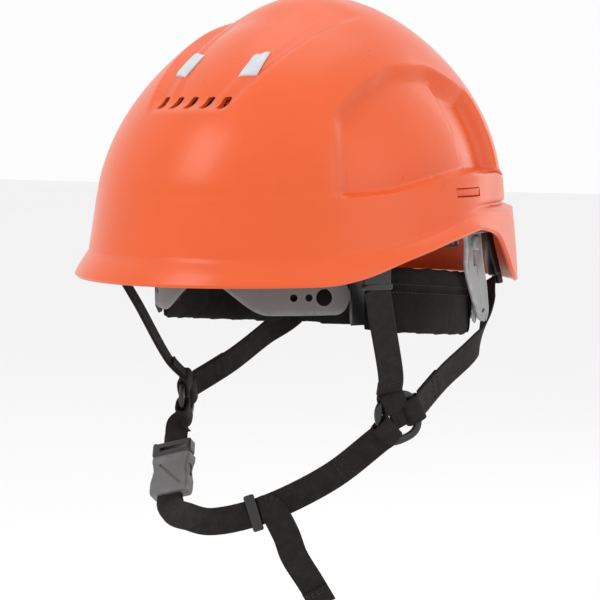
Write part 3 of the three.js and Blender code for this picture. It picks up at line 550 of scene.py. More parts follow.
def sweep(name, sections, closed=False, uvs=None, sharp=35):
    sections = np.asarray(sections, float)
    rings, around = sections.shape[:2]
    faces = tube_faces(rings, around, closed)
    return new_piece(name, sections.reshape(-1, 3), faces, uvs, True, sharp)


def basis_of(*ways):
    """A turn whose axes lie along three directions."""
    return Matrix(np.stack(ways, 1).tolist())


def bent(value, power):
    """A power that keeps the sign."""
    return math.copysign(abs(value) ** power, value)


def block(name, size, place=(0, 0, 0), basis=None, rounding=0.0, segments=3):
    """A block with rounded edges, in the directions of a basis."""
    w, d, h = (s / 2 for s in size)
    corners = [(x, y, z) for z in (-h, h) for x, y in ((-w, -d), (w, -d), (w, d), (-w, d))]
    faces = [(0, 3, 2, 1), (4, 5, 6, 7), (0, 1, 5, 4), (1, 2, 6, 5), (2, 3, 7, 6), (3, 0, 4, 7)]
    piece = new_piece(name, corners, faces)
    if rounding:
        soften(piece, rounding, segments)
    matrix = Matrix.Translation(Vector(place))
    if basis is not None:
        matrix = matrix @ basis.to_4x4()
    piece.data.transform(matrix)
    if matrix.determinant() < 0:
        piece.data.flip_normals()
    return piece


def round_bar(name, start, end, radius, sides=32, bevel=0.0):
    start, end = Vector(start), Vector(end)
    axis = (end - start).normalized()
    side = axis.orthogonal().normalized()
    other = axis.cross(side)
    length = (end - start).length
    stops = [(0, radius - bevel), (bevel, radius), (length - bevel, radius), (length, radius - bevel)]
    if not bevel:
        stops = [stops[1], stops[2]]
    sections = []
    for along, reach in stops:
        sections.append(
            [
                start + axis * along + (side * math.cos(a) + other * math.sin(a)) * reach
                for a in np.linspace(0, 2 * math.pi, sides, endpoint=False)
            ]
        )
    return sweep(name, [[tuple(c) for c in s] for s in sections], sharp=30)


# ---------------------------------------------------------------- straps along a route


def smooth_route(points, shares):
    """Points and directions on the smooth curve through the route's points."""
    points = np.asarray(points, float)
    count = len(points)
    padded = np.vstack([2 * points[0] - points[1], points, 2 * points[-1] - points[-2]])

    def at(share):
        place = np.clip(share, 0, 1) * (count - 1)
        before = min(int(place), count - 2)
        weight = place - before
        p0, p1, p2, p3 = padded[before : before + 4]
        gaps = [max(np.linalg.norm(b - a) ** 0.5, 1e-6) for a, b in ((p0, p1), (p1, p2), (p2, p3))]
        first = ((p1 - p0) / gaps[0] - (p2 - p0) / (gaps[0] + gaps[1]) + (p2 - p1) / gaps[1]) * gaps[1]
        second = ((p2 - p1) / gaps[1] - (p3 - p1) / (gaps[1] + gaps[2]) + (p3 - p2) / gaps[2]) * gaps[1]
        c2 = -3 * p1 + 3 * p2 - 2 * first - second
        c3 = 2 * p1 - 2 * p2 + first + second
        return p1 + first * weight + c2 * weight**2 + c3 * weight**3

    places = np.array([at(s) for s in shares])
    ways = np.array([at(min(1, s + 1e-4)) - at(max(0, s - 1e-4)) for s in shares])
    return places, unit(ways)


def strap_frames(points, acrosses, shares):
    """Centre, direction, width direction and normal of a flat strap along its route."""
    centres, ways = smooth_route(points, shares)
    acrosses = np.asarray(acrosses, float)
    place = np.asarray(shares) * (len(points) - 1)
    before = np.minimum(place.astype(int), len(points) - 2)
    part = (place - before)[:, None]
    wide = acrosses[before] * (1 - part) + acrosses[before + 1] * part
    wide = unit(wide - ways * np.sum(wide * ways, axis=1, keepdims=True))
    return centres, ways, wide, unit(np.cross(ways, wide))


def strap_section(half, thick):
    """Corners of a strap's section: flat faces, slightly raised selvedges, round edges."""
    rounds = [math.radians(a) for a in (-70, -35, 0, 35, 70)]
    right = [(half - thick + thick * math.cos(a), thick * 1.08 * math.sin(a)) for a in rounds]
    top = [(half * s, thick * 0.94) for s in (0.8, 0.4, 0.0, -0.4, -0.8)]
    left = [(-x, -y) for x, y in right]
    bottom = [(-x, -y) for x, y in top]
    return right + top + left + bottom


def strap(name, points, acrosses, width, thickness, steps, end=1.0, lift=None, start=0.0):
    """A woven strap along a route in millimetres, with a UV map in metres."""
    shares = np.linspace(start, end, steps + 1)
    centres, _, wide, up = strap_frames(points, acrosses, shares)
    run = np.concatenate([[0], np.cumsum(np.linalg.norm(np.diff(centres, axis=0), axis=1))])
    sections, uvs = [], []
    for i, share in enumerate(shares):
        raised = lift(share) if lift else 0.0
        shape = strap_section(width / 2, thickness / 2)
        sections.append([centres[i] + wide[i] * x + up[i] * (y + raised) for x, y in shape])
        uvs += [(x * MM, run[i] * MM) for x, y in shape]
    return sweep(name, np.array(sections) * MM, uvs=uvs, sharp=60)


# ---------------------------------------------------------------- repeated details


def node_tree(name, inputs):
    tree = bpy.data.node_groups.new(name, "GeometryNodeTree")
    tree.interface.new_socket("Geometry", in_out="INPUT", socket_type="NodeSocketGeometry")
    tree.interface.new_socket("Geometry", in_out="OUTPUT", socket_type="NodeSocketGeometry")
    keys = {}
    for label, kind in inputs:
        keys[label] = tree.interface.new_socket(label, in_out="INPUT", socket_type=kind).identifier
    return tree, tree.nodes.new("NodeGroupInput"), tree.nodes.new("NodeGroupOutput"), keys


def grow(piece, tree, keys, **values):
    """Runs a tree on the piece and keeps its result as a plain mesh."""
    modifier = piece.modifiers.new("grow", "NODES")
    modifier.node_group = tree
    for label, value in values.items():
        modifier[keys[label.replace("_", " ").capitalize()]] = value
    bake(piece)
    finish_shading(piece.data)
    return piece


def finish_tree(tree, geometry, given, result):
    realize = tree.nodes.new("GeometryNodeRealizeInstances")
    paint = tree.nodes.new("GeometryNodeSetMaterial")
    tree.links.new(geometry, realize.inputs[0])
    tree.links.new(realize.outputs[0], paint.inputs[0])
    tree.links.new(given.outputs["Material"], paint.inputs["Material"])
    tree.links.new(paint.outputs[0], result.inputs[0])


def wire_tree():
    """Round wires along every edge of a net."""
    tree, given, result, keys = node_tree(
        "wires",
        [("Diameter", "NodeSocketFloat"), ("Sides", "NodeSocketInt"), ("Material", "NodeSocketMaterial")],
    )
    lines = tree.nodes.new("GeometryNodeMeshToCurve")
    ring = tree.nodes.new("GeometryNodeCurvePrimitiveCircle")
    half = tree.nodes.new("ShaderNodeMath")
    half.operation = "MULTIPLY"
    half.inputs[1].default_value = 0.5
    tree.links.new(given.outputs["Diameter"], half.inputs[0])
    tree.links.new(half.outputs[0], ring.inputs["Radius"])
    tree.links.new(given.outputs["Sides"], ring.inputs["Resolution"])
    tube = tree.nodes.new("GeometryNodeCurveToMesh")
    tube.inputs["Fill Caps"].default_value = True
    tree.links.new(given.outputs["Geometry"], lines.inputs[0])
    tree.links.new(lines.outputs[0], tube.inputs["Curve"])
    tree.links.new(ring.outputs[0], tube.inputs["Profile Curve"])
    finish_tree(tree, tube.outputs[0], given, result)
    return tree, keys


def stitch_tree():
    """One short thread on every point, turned along the point's own direction."""
    tree, given, result, keys = node_tree(
        "stitches",
        [("Length", "NodeSocketFloat"), ("Thickness", "NodeSocketFloat"), ("Material", "NodeSocketMaterial")],
    )
    ball = tree.nodes.new("GeometryNodeMeshUVSphere")
    set_inputs(ball, {"Segments": 6, "Rings": 5, "Radius": 0.5})
    size = tree.nodes.new("ShaderNodeCombineXYZ")
    for i, label in enumerate(("Thickness", "Thickness", "Length")):
        tree.links.new(given.outputs[label], size.inputs[i])
    way = tree.nodes.new("GeometryNodeInputNamedAttribute")
    way.data_type = "FLOAT_VECTOR"
    way.inputs["Name"].default_value = "way"
    turn = tree.nodes.new("FunctionNodeAlignRotationToVector")
    turn.axis = "Z"
    tree.links.new(way.outputs[0], turn.inputs["Vector"])
    put = tree.nodes.new("GeometryNodeInstanceOnPoints")
    tree.links.new(given.outputs["Geometry"], put.inputs["Points"])
    tree.links.new(ball.outputs["Mesh"], put.inputs["Instance"])
    tree.links.new(turn.outputs[0], put.inputs["Rotation"])
    tree.links.new(size.outputs[0], put.inputs["Scale"])
    finish_tree(tree, put.outputs[0], given, result)
    return tree, keys


TREES = {}
STITCH_RISE = 0.1  # millimetres from a strap's face to the middle of its stitches


def grow_threads(piece, ways, length, thickness, material):
    """Grows one round-ended thread on each point, along its own direction."""
    way = piece.data.attributes.new("way", "FLOAT_VECTOR", "POINT")
    way.data.foreach_set("vector", np.array(ways, float).ravel())
    tree, keys = TREES["stitches"]
    grow(piece, tree, keys, length=length, thickness=thickness, material=MATERIALS[material])


def stitch_rows(name, rows, sizes, thickness=0.00055):
    """Stitches along rows of points. A row is a list of corners in metres."""
    places, ways = [], []
    for row in rows:
        row = np.asarray(row, float)
        run = np.concatenate([[0], np.cumsum(np.linalg.norm(np.diff(row, axis=0), axis=1))])
        for at in np.arange(sizes.stitch_pitch * 0.5, run[-1], sizes.stitch_pitch):
            here = [np.interp(at, run, row[:, k]) for k in range(3)]
            there = [
                np.interp(at + 1e-4, run, row[:, k]) - np.interp(at - 1e-4, run, row[:, k]) for k in range(3)
            ]
            places.append(here)
            ways.append(unit(there))
    piece = loose_piece(name, places)
    grow_threads(piece, ways, sizes.stitch_length, thickness, "thread")
    layer = piece.data.uv_layers.get("strap") or piece.data.uv_layers.new(name="strap")
    corners = np.zeros(len(piece.data.loops), np.int32)
    piece.data.loops.foreach_get("vertex_index", corners)
    spots = np.array([v.co for v in piece.data.vertices])[corners]
    layer.data.foreach_set("uv", np.stack([spots[:, 0] + spots[:, 2], spots[:, 1] - spots[:, 2]], 1).ravel())
    return piece


def strap_rows(points, acrosses, start, end, offsets, thickness, faces=(1,)):
    """Rows of points that run along a strap's face between two shares of its route."""
    centres, _, wide, up = strap_frames(points, acrosses, np.linspace(start, end, 24))
    rows = []
    for face in faces:
        for x in offsets:
            rows.append((centres + wide * x + up * face * (thickness / 2 + STITCH_RISE)) * MM)
    return rows


def cross_rows(points, acrosses, shares, half, thickness, faces=(1,)):
    """Rows of points that run across a strap's face at given shares of its route."""
    centres, _, wide, up = strap_frames(points, acrosses, shares)
    rows = []
    for face in faces:
        for i in range(len(shares)):
            base = centres[i] + up[i] * face * (thickness / 2 + STITCH_RISE)
            rows.append(np.array([base - wide[i] * half, base + wide[i] * half]) * MM)
    return rows


# ---------------------------------------------------------------- shell surface, in millimetres

HALF_WIDTH, HALF_LENGTH, TOP, DOME_ROOT = 103.0, 136.0, 153.0, 20.0
# Heights of the shell's lines by the angle from the side: -90 is the front and 90 the back.
EDGE = (
    (-90, 0), (-48, 0), (-40, 3.5), (-28, 12), (-13, 20), (3, 26), (16, 21), (24, 10), (33, -3.5),
    (38, -8), (60, -10), (90, -10),
)
CREASE = ((-90, 13), (-54, 12), (-31, 19), (-16, 25), (-5, 31), (9, 35), (90, 35))
LEDGE = ((-90, 42), (-48, 43), (-30, 45), (-7, 52), (8, 55), (30, 55), (45, 51), (90, 50))
RECESS_TOP = ((-90, 84), (-48, 84), (-38, 100), (-19, 112), (10, 113), (35, 100), (90, 90))
DOME_FOOT, BAND_TOP, BAND_FOOT, STEP_FOOT = 0.66, 0.7, 0.84, 0.88


def eased(pairs, side, reach=3.0):
    """Height at an angle round the shell, with the corners of the table rounded off."""
    angles, heights = np.array(pairs, float).T
    shifts = np.linspace(-reach, reach, 7)
    return np.mean([np.interp(side + s, angles, heights) for s in shifts], axis=0)


def outline(angle, share, height):
    """Corner of the shell's outline at a height, as a share of its full size."""
    reach = share / np.hypot(np.cos(angle) / HALF_WIDTH, np.sin(angle) / HALF_LENGTH)
    back = 10 * np.maximum(0, (height - 50) / (TOP - 50))
    return np.stack([reach * np.cos(angle), reach * np.sin(angle) + back, height + 0 * reach], -1)


def dome_share(height):
    rise = np.clip((height - DOME_ROOT) / (TOP - DOME_ROOT), 0, 1)
    return np.sqrt(np.maximum(0, 1 - rise ** (2.5 - 0.9 * rise)))


def sunken(points):
    """Depth of the side recesses, their rear channels and the front panel under the dome."""
    x, y, z = points[..., 0], points[..., 1], points[..., 2]
    side = np.degrees(np.arctan2(y, np.abs(x)))
    top = eased(RECESS_TOP, side, 5)
    upright = 1 - step(z, top - 5, top)
    recess = step(side, -48, -42) * (1 - step(side, 32, 36.5)) * upright
    channel = step(side, 10, 12.4) * (1 - step(side, 32, 36)) * (1 - step(z, top - 9, top - 5))
    half = np.interp(z, (60, 88, 140, 153), (14, 24, 41, 45))
    panel = (1 - step(np.abs(x), half - 2.2, half + 2.2)) * step(z, 86, 95) * step(-y, 0, 40)
    inner = (1 - step(np.abs(x), half - 13, half - 10.5)) * step(z, 90, 98) * step(-y, 18, 44)
    return 6.0 * recess + 3.3 * channel + 4.3 * panel + 1.2 * inner


def outer_surface(angle, level):
    """The shell's outer face: level 0 is the top, 1 the lower edge."""
    side = np.degrees(np.arctan2(np.sin(angle), np.abs(np.cos(angle))))
    ledge, crease, edge = eased(LEDGE, side), eased(CREASE, side), eased(EDGE, side, 2.5)
    rear = step(side, -5, 30)
    crease_share = 1.035 + (1.005 - 1.035) * rear
    foot_share = 1.045
    turn = np.pi / 2 * (1 - np.minimum(level / DOME_FOOT, 1))
    foot = np.arcsin((ledge + 3 - DOME_ROOT) / (TOP - DOME_ROOT))
    height = DOME_ROOT + (TOP - DOME_ROOT) * np.sin(turn * (1 - foot / (np.pi / 2)) + foot)
    dome = outline(angle, dome_share(height), height)
    rise = (height - DOME_ROOT) / (TOP - DOME_ROOT) ** 2
    out = np.stack([dome[..., 0] / HALF_WIDTH**2, dome[..., 1] / HALF_LENGTH**2, rise], -1)
    dome = dome - unit(out) * sunken(dome)[..., None]

    def between(low, high):
        return np.clip((level - low) / (high - low), 0, 1)

    ledge_point = outline(angle, 0.995 + 0 * angle, ledge)
    part = between(DOME_FOOT, BAND_TOP)[..., None]
    result = dome * (1 - part) + ledge_point * part
    part = between(BAND_TOP, BAND_FOOT)
    groove = np.exp(-(((part - 0.04) / 0.035) ** 2)) * 0.016 + np.exp(-(((part - 0.94) / 0.05) ** 2)) * 0.022
    share = 0.995 + (crease_share - 0.995) * part - groove * rear
    band = outline(angle, share, ledge + (crease - ledge) * part)
    result = np.where((level > BAND_TOP)[..., None], band, result)
    part = between(BAND_FOOT, STEP_FOOT)
    lip = outline(angle, crease_share + (foot_share - crease_share) * part, crease - 2 * part)
    result = np.where((level > BAND_FOOT)[..., None], lip, result)
    part = between(STEP_FOOT, 1)
    flare = 1.1 + (1.075 - 1.1) * rear
    swell = 0.004 * np.sin(np.pi * part)
    share = foot_share + (flare - foot_share) * part + swell
    skirt = outline(angle, share, crease - 2 + (edge - crease + 2) * part)
    return np.where((level > STEP_FOOT)[..., None], skirt, result)


def surface_normal(angle, level):
    turned = outer_surface(angle + 0.012, level) - outer_surface(angle - 0.012, level)
    below = outer_surface(angle, np.minimum(level + 0.006, 1))
    down = below - outer_surface(angle, np.maximum(level - 0.006, 0.001))
    return unit(np.cross(down, turned))


def under_surface(angle, level, depth):
    angle, level = np.broadcast_arrays(np.asarray(angle, float), np.asarray(level, float))
    return outer_surface(angle, level) - surface_normal(angle, np.maximum(level, 0.02)) * depth


def shell_piece(wall):
    slices = 336
    levels = np.concatenate([
        np.linspace(0.012, 0.645, 74), np.linspace(0.652, 0.698, 9), np.linspace(0.7, 0.84, 26),
        np.linspace(0.846, 0.88, 6), np.linspace(0.888, 1, 14),
    ])
    angle = np.linspace(0, 2 * np.pi, slices, endpoint=False)[None, :]
    outer = outer_surface(angle + 0 * levels[:, None], levels[:, None] + 0 * angle)
    inner_levels = np.linspace(1, 0.014, 56)
    inner = under_surface(angle, inner_levels[:, None] + 0 * angle, wall)
    for _ in range(3):
        inner[1:-1] = (inner[:-2] + 2 * inner[1:-1] + inner[2:]) / 4
        inner = (np.roll(inner, 1, 1) + 2 * inner + np.roll(inner, -1, 1)) / 4
    rim = (outer[-1] + inner[0]) / 2 - np.array([0, 0, 0.9])
    rings = np.concatenate([outer, rim[None], inner])
    count = len(rings)
    corners = np.concatenate([rings.reshape(-1, 3), [[0, 10, TOP], [0, 10, TOP - wall]]]) * MM
    faces = [f for f in tube_faces(count, slices) if len(f) == 4]
    apex, under = count * slices, count * slices + 1
    last = (count - 1) * slices
    for i in range(slices):
        k = (i + 1) % slices
        faces.append((apex, k, i))
        faces.append((under, last + i, last + k))
    return new_piece("shell_dome", corners, faces, sharp=50)


def rounded_cutters():
    """The vent slots of the front panel and the accessory slots of the sides."""
    cutters = []
    for v in range(5):
        place = ((v - 2) * 10 * MM, -0.8 * HALF_LENGTH * MM, 92 * MM)
        cutters.append(block("vent_cut", (4.2 * MM, 50 * MM, 6.6 * MM), place, None, 1.2 * MM))
    for _, side in SIDES:
        place = (side * HALF_WIDTH * MM, 6 * MM, 44 * MM)
        cutters.append(block("slot_cut", (20 * MM, 26 * MM, 5 * MM), place, None, 0.8 * MM))
    return join("shell_cuts", cutters)


class HELMET_OT_shell(bpy.types.Operator):
    """Builds the shell with its recesses, brim crease, vents and accessory slots"""

    bl_idname = "helmet.shell"
    bl_label = "Shell"

    def execute(self, context):
        sizes = context.scene.helmet_sizes
        piece = cut(shell_piece(sizes.shell_wall / MM), rounded_cutters())
        finish_shading(piece.data, True, 50)
        settle(piece, "helmet", "shell_orange", "shell", "shell")
        for word, side in SIDES:
            plug = block(
                f"accessory_cover_{word}", (2.1 * MM, 25.2 * MM, 4.2 * MM),
                (side * (HALF_WIDTH - 1.05) * MM, 6 * MM, 44 * MM), None, 0.6 * MM,
            )
            settle(plug, "helmet", "shell_orange", "shell", f"accessory_plug_{word}")
        return {"FINISHED"}


INSERT_SECTION = (
    (0.332, -0.2), (0.334, -1.0), (0.342, -1.5), (0.366, -1.6), (0.39, -1.5), (0.398, -1.0),
    (0.4, -0.2), (0.4, 0.5), (0.332, 0.5),
)


class HELMET_OT_vents(bpy.types.Operator):
    """Weaves the wire screen behind the vents and sets the pale inserts beside them"""

    bl_idname = "helmet.vents"
    bl_label = "Vent screen and inserts"

    def execute(self, context):
        sizes = context.scene.helmet_sizes
        low, high = np.radians(-104), np.radians(-76)
        wide = int(0.047 / sizes.screen_pitch)
        tall = int(0.022 / sizes.screen_pitch)
        angle, level = np.meshgrid(np.linspace(low, high, wide), np.linspace(0.41, 0.53, tall))
        depth = sizes.shell_wall / MM + 1.0 + 0.12 * (-1.0) ** np.add.outer(np.arange(tall), np.arange(wide))
        points = outer_surface(angle, level) - surface_normal(angle, level) * depth[..., None]
        faces = [
            (r * wide + c, r * wide + c + 1, (r + 1) * wide + c + 1, (r + 1) * wide + c)
            for r in range(tall - 1) for c in range(wide - 1)
        ]
        net = new_piece("vent_wires", points.reshape(-1, 3) * MM, faces)
        tree, keys = TREES["wires"]
        grow(net, tree, keys, diameter=sizes.screen_wire, sides=5, material=MATERIALS["screen"])
        settle(net, "helmet", "vent_screen", "screen", "vent_screen")
        for word, side in SIDES:
            middle = math.radians(-90 + side * 15)
            sections = []
            for share in np.linspace(-1, 1, 9):
                ring = []
                for level, depth in INSERT_SECTION:
                    lean = (level - 0.366) * 0.35 * side
                    turned = middle + math.radians(3.1) * share - lean
                    shallow = depth * (1 - 0.5 * abs(share) ** 6) if depth < 0 else depth
                    ring.append(under_surface(turned, level, shallow))
                sections.append(ring)
            insert = sweep(f"pale_insert_{word}", np.array(sections) * MM, sharp=50)
            settle(insert, "helmet", "marker_insert", "insert", f"marker_insert_{word}")
        return {"FINISHED"}


# ---------------------------------------------------------------- suspension and headband


RING_HALF_WIDTH, RING_HALF_LENGTH, RING_BACK = 80, 104, 10  # middle of the headband's oval
BROW_ARCH = 17
PAD_SLOPE = 0.096
PAD_SEAM = -0.0095  # level of the seam, in metres
PAD_FINENESS = 0.45  # the remesh used, as a share of the coarsest
CROWN_THICKNESS = 1.2
CRADLE_LEVEL = -26


def ring_place(angle, out, height):
    """Place at an angle round the head, outside the headband's middle, in millimetres."""
    angle = np.radians(angle)
    x = (RING_HALF_WIDTH + out) * np.cos(angle)
    y = RING_BACK + (RING_HALF_LENGTH + out) * np.sin(angle)
    return np.stack([x, y, height + 0 * angle], -1)


def brow_lift(angle):
    """Rise of the headband over the brow, by the angle round the head."""
    return BROW_ARCH * (1 - step(np.abs(np.asarray(angle, float) + 90), 2, 26))


def pad_lift(angle):
    """Drop of the pads towards the nape, by the angle round the head."""
    return -PAD_SLOPE * (RING_BACK + RING_HALF_LENGTH * np.sin(np.radians(angle)))


def ring_band(name, offset, thickness, start, end, bottom, top, steps, ends=0.0, crown=0.0, lift=None):
    """A band round the head with round edges. Its ends can narrow and its edges can be raised."""
    sections = []
    half = thickness / 2
    for share in np.linspace(0, 1, steps + 1):
        angle = start + (end - start) * share
        near = min(share, 1 - share) * abs(end - start)
        shrink = 1.0
        if ends and near < ends:
            shrink = math.sqrt(max(0.02, 1 - (1 - near / ends) ** 2))
        middle, tall = (bottom + top) / 2, (top - bottom) / 2 * shrink
        if lift:
            middle += float(lift(angle))
        shape = []
        for z in np.linspace(-1, 1, 13):
            edge = half * (1 - abs(z) ** 14 * 0.85)
            shape.append((edge + crown * (1 - z * z), edge, z))
        ring = [ring_place(angle, offset + outer, middle + tall * z) for outer, _, z in shape]
        ring += [ring_place(angle, offset - inner, middle + tall * z) for _, inner, z in shape[::-1]]
        sections.append(ring)
    return sweep(name, np.array(sections) * MM, sharp=50)


class HELMET_OT_suspension(bpy.types.Operator):
    """Lays the textile straps over the head and the zigzag elastic between the hangers"""

    bl_idname = "helmet.suspension"
    bl_label = "Suspension"

    def execute(self, context):
        sizes = context.scene.helmet_sizes
        routes = (
            ("crown_strap_front_left", -48, 101, 52, 0), ("crown_strap_front_right", 48, 101, 52, 1),
            ("crown_strap_side", 0, 88.6, 50, 2),
        )
        for node, angle, foot, level, layer in routes:
            cx, cy = math.cos(math.radians(angle)), math.sin(math.radians(angle))
            top = 108 + layer * 2.2
            points, acrosses = [], []
            for i in range(9):
                turn = math.pi * i / 8
                reach = foot * math.cos(turn)
                points.append([reach * cx, reach * cy, level + (top - level) * math.sin(turn)])
                acrosses.append([-cy, cx, 0])
            piece = strap(node + "_tape", points, acrosses, 18, CROWN_THICKNESS, 72)
            settle(piece, "helmet", "suspension_textile", "textile", node)
            rows = strap_rows(points, acrosses, 0.02, 0.98, (-6.5, 6.5), CROWN_THICKNESS, (1, -1))
            stitches = stitch_rows(node + "_stitches", rows, sizes)
            settle(stitches, "helmet", "suspension_textile", "thread")
        for word, side in SIDES:
            points = [[side * 88.7, y, 19] for y in (-15, 2, 19)]
            acrosses = [[0, 0, 1]] * 3
            elastic = strap(f"side_elastic_{word}", points, acrosses, 11, 1.6, 20)
            settle(elastic, "helmet", "suspension_textile", "textile", f"side_band_{word}")
            corners = []
            for i, y in enumerate(np.linspace(-14, 18, 13)):
                corners.append((side * 89.9 * MM, y * MM, (19 + (3.6 if i % 2 else -3.6)) * MM))
            zigzag = loose_piece(f"zigzag_cord_{word}", corners, [(i, i + 1) for i in range(12)])
            tree, keys = TREES["wires"]
            grow(zigzag, tree, keys, diameter=0.0013, sides=8, material=MATERIALS["band"])
            settle(zigzag, "helmet", "suspension_textile", "band")
            for end in ("side", "front", "rear"):
                dress(f"hanger_{end}_{word}", "band")
            dress(f"temple_link_{word}", "band")
        return {"FINISHED"}


class HELMET_OT_anchors(bpy.types.Operator):
    """Builds the slim clips that hold the harness inside the shell"""

    bl_idname = "helmet.anchors"
    bl_label = "Strap anchors"

    def execute(self, context):
        for word, side in SIDES:
            wide, out = unit([side * 0.42, 0.9, 0]), unit([side * 0.9, -0.42, 0])
            basis = basis_of(wide, out, [0, 0, 1])
            body = block("clip", (0.0158, 0.0034, 0.021), (side * 0.0876, -0.06, 0.0055), basis, 0.0009)
            bar = block("bar", (0.0172, 0.0046, 0.0034), (side * 0.0875, -0.0597, -0.0036), basis, 0.0011)
            clip = join(f"front_clip_{word}", [body, bar])
            finish_shading(clip.data, True, 40)
            settle(clip, "helmet", "black_plastic", "black", f"strap_anchor_front_{word}")
            down = unit([side * 0.2, 0.1, -0.97])
            wide = unit(np.cross(down, [side * 0.75, -0.6, 0]))
            flat = np.cross(wide, down)
            basis = basis_of(wide, flat, down)
            body = block("clip", (0.0042, 0.0125, 0.027), (side * 0.0615, 0.1026, 0.0045), basis, 0.0011)
            tab = block("tab", (0.0032, 0.0095, 0.010), (side * 0.0652, 0.1042, -0.0086), basis, 0.0009)
            clip = join(f"rear_clip_{word}", [body, tab])
            finish_shading(clip.data, True, 40)
            settle(clip, "helmet", "black_plastic", "black", f"strap_anchor_rear_{word}")
        return {"FINISHED"}


class HELMET_OT_headband(bpy.types.Operator):
    """Builds the headband with its adjusting holes and the brackets at the temples"""

    bl_idname = "helmet.headband"
    bl_label = "Headband"

    def execute(self, context):
        band = ring_band("headband_strip", 0, 2, -144, -36, -20, 0, 110, 5.0, lift=brow_lift)
        holes = []
        for _, side in SIDES:
            for n in range(3):
                angle = -90 + side * (45 - 5.2 * n)
                a, b = ring_place(angle, -4, -10.5) * MM, ring_place(angle, 5, -10.5) * MM
                wide = 4.6 if n == 0 else 2.0
                holes.append(round_bar("hole", a, b, wide * MM, 28))
        cut(band, join("headband_holes", holes))
        settle(band, "helmet", "headband_grey", "band", "headband")
        for word, side in SIDES:
            start, end = (-35.8, -31.6) if side > 0 else (211.6, 215.8)
            bracket = ring_band(f"temple_clip_{word}", 0.5, 4, start, end, -26, 22, 8, 0, 0.3)
            settle(bracket, "helmet", "black_plastic", "black", f"temple_bracket_{word}")
        return {"FINISHED"}


# ---------------------------------------------------------------- pads


def fill_pad(piece, sizes):
    """Fills a pad: even mesh, pressure from inside, then a cap on how far it may swell."""
    remesh = piece.modifiers.new("even", "REMESH")
    remesh.mode = "VOXEL"
    remesh.voxel_size = sizes.pad_voxel * PAD_FINENESS
    bake(piece)
    rest = np.zeros(len(piece.data.vertices) * 3, np.float32)
    piece.data.vertices.foreach_get("co", rest)
    rest = rest.reshape(-1, 3)
    cloth = piece.modifiers.new("fill", "CLOTH")
    cloth.settings.use_pressure = True
    cloth.settings.uniform_pressure_force = 4.0
    cloth.settings.effector_weights.gravity = 0.0
    cloth.settings.quality = 5
    cloth.point_cache.frame_start = 1
    cloth.point_cache.frame_end = 20
    for at in range(1, 13):
        bpy.context.scene.frame_set(at)
    bake(piece)
    bpy.context.scene.frame_set(1)
    swollen = np.zeros(len(piece.data.vertices) * 3, np.float32)
    piece.data.vertices.foreach_get("co", swollen)
    move = swollen.reshape(-1, 3) - rest
    far = np.linalg.norm(move, axis=1, keepdims=True)
    move *= np.minimum(1, sizes.pad_swell / np.maximum(far, 1e-9))
    piece.data.vertices.foreach_set("co", (rest + move).astype(np.float32).ravel())
    smooth = piece.modifiers.new("even_out", "SMOOTH")
    smooth.factor = 0.5
    smooth.iterations = 3
    finer = piece.modifiers.new("finer", "SUBSURF")
    finer.levels = finer.render_levels = 1
    bake(piece)
    finish_shading(piece.data, True, 180)
    return piece


def pad_shape(name, offset, thickness, start, end, bottom, top, lift, steps=44):
    """A crowned pad on the ring round the head, thin at its rounded rim."""
    rows = 15
    outer, inner = [], []
    for u in np.linspace(-1, 1, steps):
        for v in np.linspace(-1, 1, rows):
            corner = max(0.0, 1 - (abs(u) ** 5 + abs(v) ** 5))
            plump = 0.5 + 0.5 * min(1.0, corner) ** 0.4
            pulled_u = u * (1 - 0.012 * (1 - v * v) * (abs(u) > 0.8))
            angle = (start + end) / 2 + (end - start) / 2 * pulled_u * (1 - 0.02 * abs(v) ** 6)
            narrow = 1 - 0.06 * abs(u) ** 10
            height = (bottom + top) / 2 + (top - bottom) / 2 * v * narrow + float(lift(angle))
            outer.append(ring_place(angle, offset + thickness / 2 * plump, height))
            inner.append(ring_place(angle, offset - thickness / 2 * plump, height))
    count = len(outer)
    corners = np.array(outer + inner) * MM
    faces = []
    for a in range(steps - 1):
        for b in range(rows - 1):
            q = (a * rows + b, a * rows + b + 1, (a + 1) * rows + b + 1, (a + 1) * rows + b)
            faces.append(q)
            faces.append(tuple(i + count for i in q[::-1]))
    rim = [a * rows for a in range(steps)] + [(steps - 1) * rows + b for b in range(1, rows)]
    rim += [a * rows + rows - 1 for a in range(steps - 2, -1, -1)] + [b for b in range(rows - 2, 0, -1)]
    for i, here in enumerate(rim):
        there = rim[(i + 1) % len(rim)]
        faces.append((here, there, there + count, here + count))
    return new_piece(name, corners, faces)


def press_seams(piece, levels, depth=0.0011, reach=0.0016):
    """Presses level seams into a pad, towards its own middle."""
    mesh = piece.data
    co = np.zeros(len(mesh.vertices) * 3, np.float32)
    no = np.zeros(len(mesh.vertices) * 3, np.float32)
    mesh.vertices.foreach_get("co", co)
    mesh.vertex_normals.foreach_get("vector", no)
    co, no = co.reshape(-1, 3), no.reshape(-1, 3)
    for level in levels:
        near = np.exp(-(((co[:, 2] + PAD_SLOPE * co[:, 1] - level) / reach) ** 2))[:, None]
        co -= no * near * depth
    mesh.vertices.foreach_set("co", co.ravel())
    mesh.update()


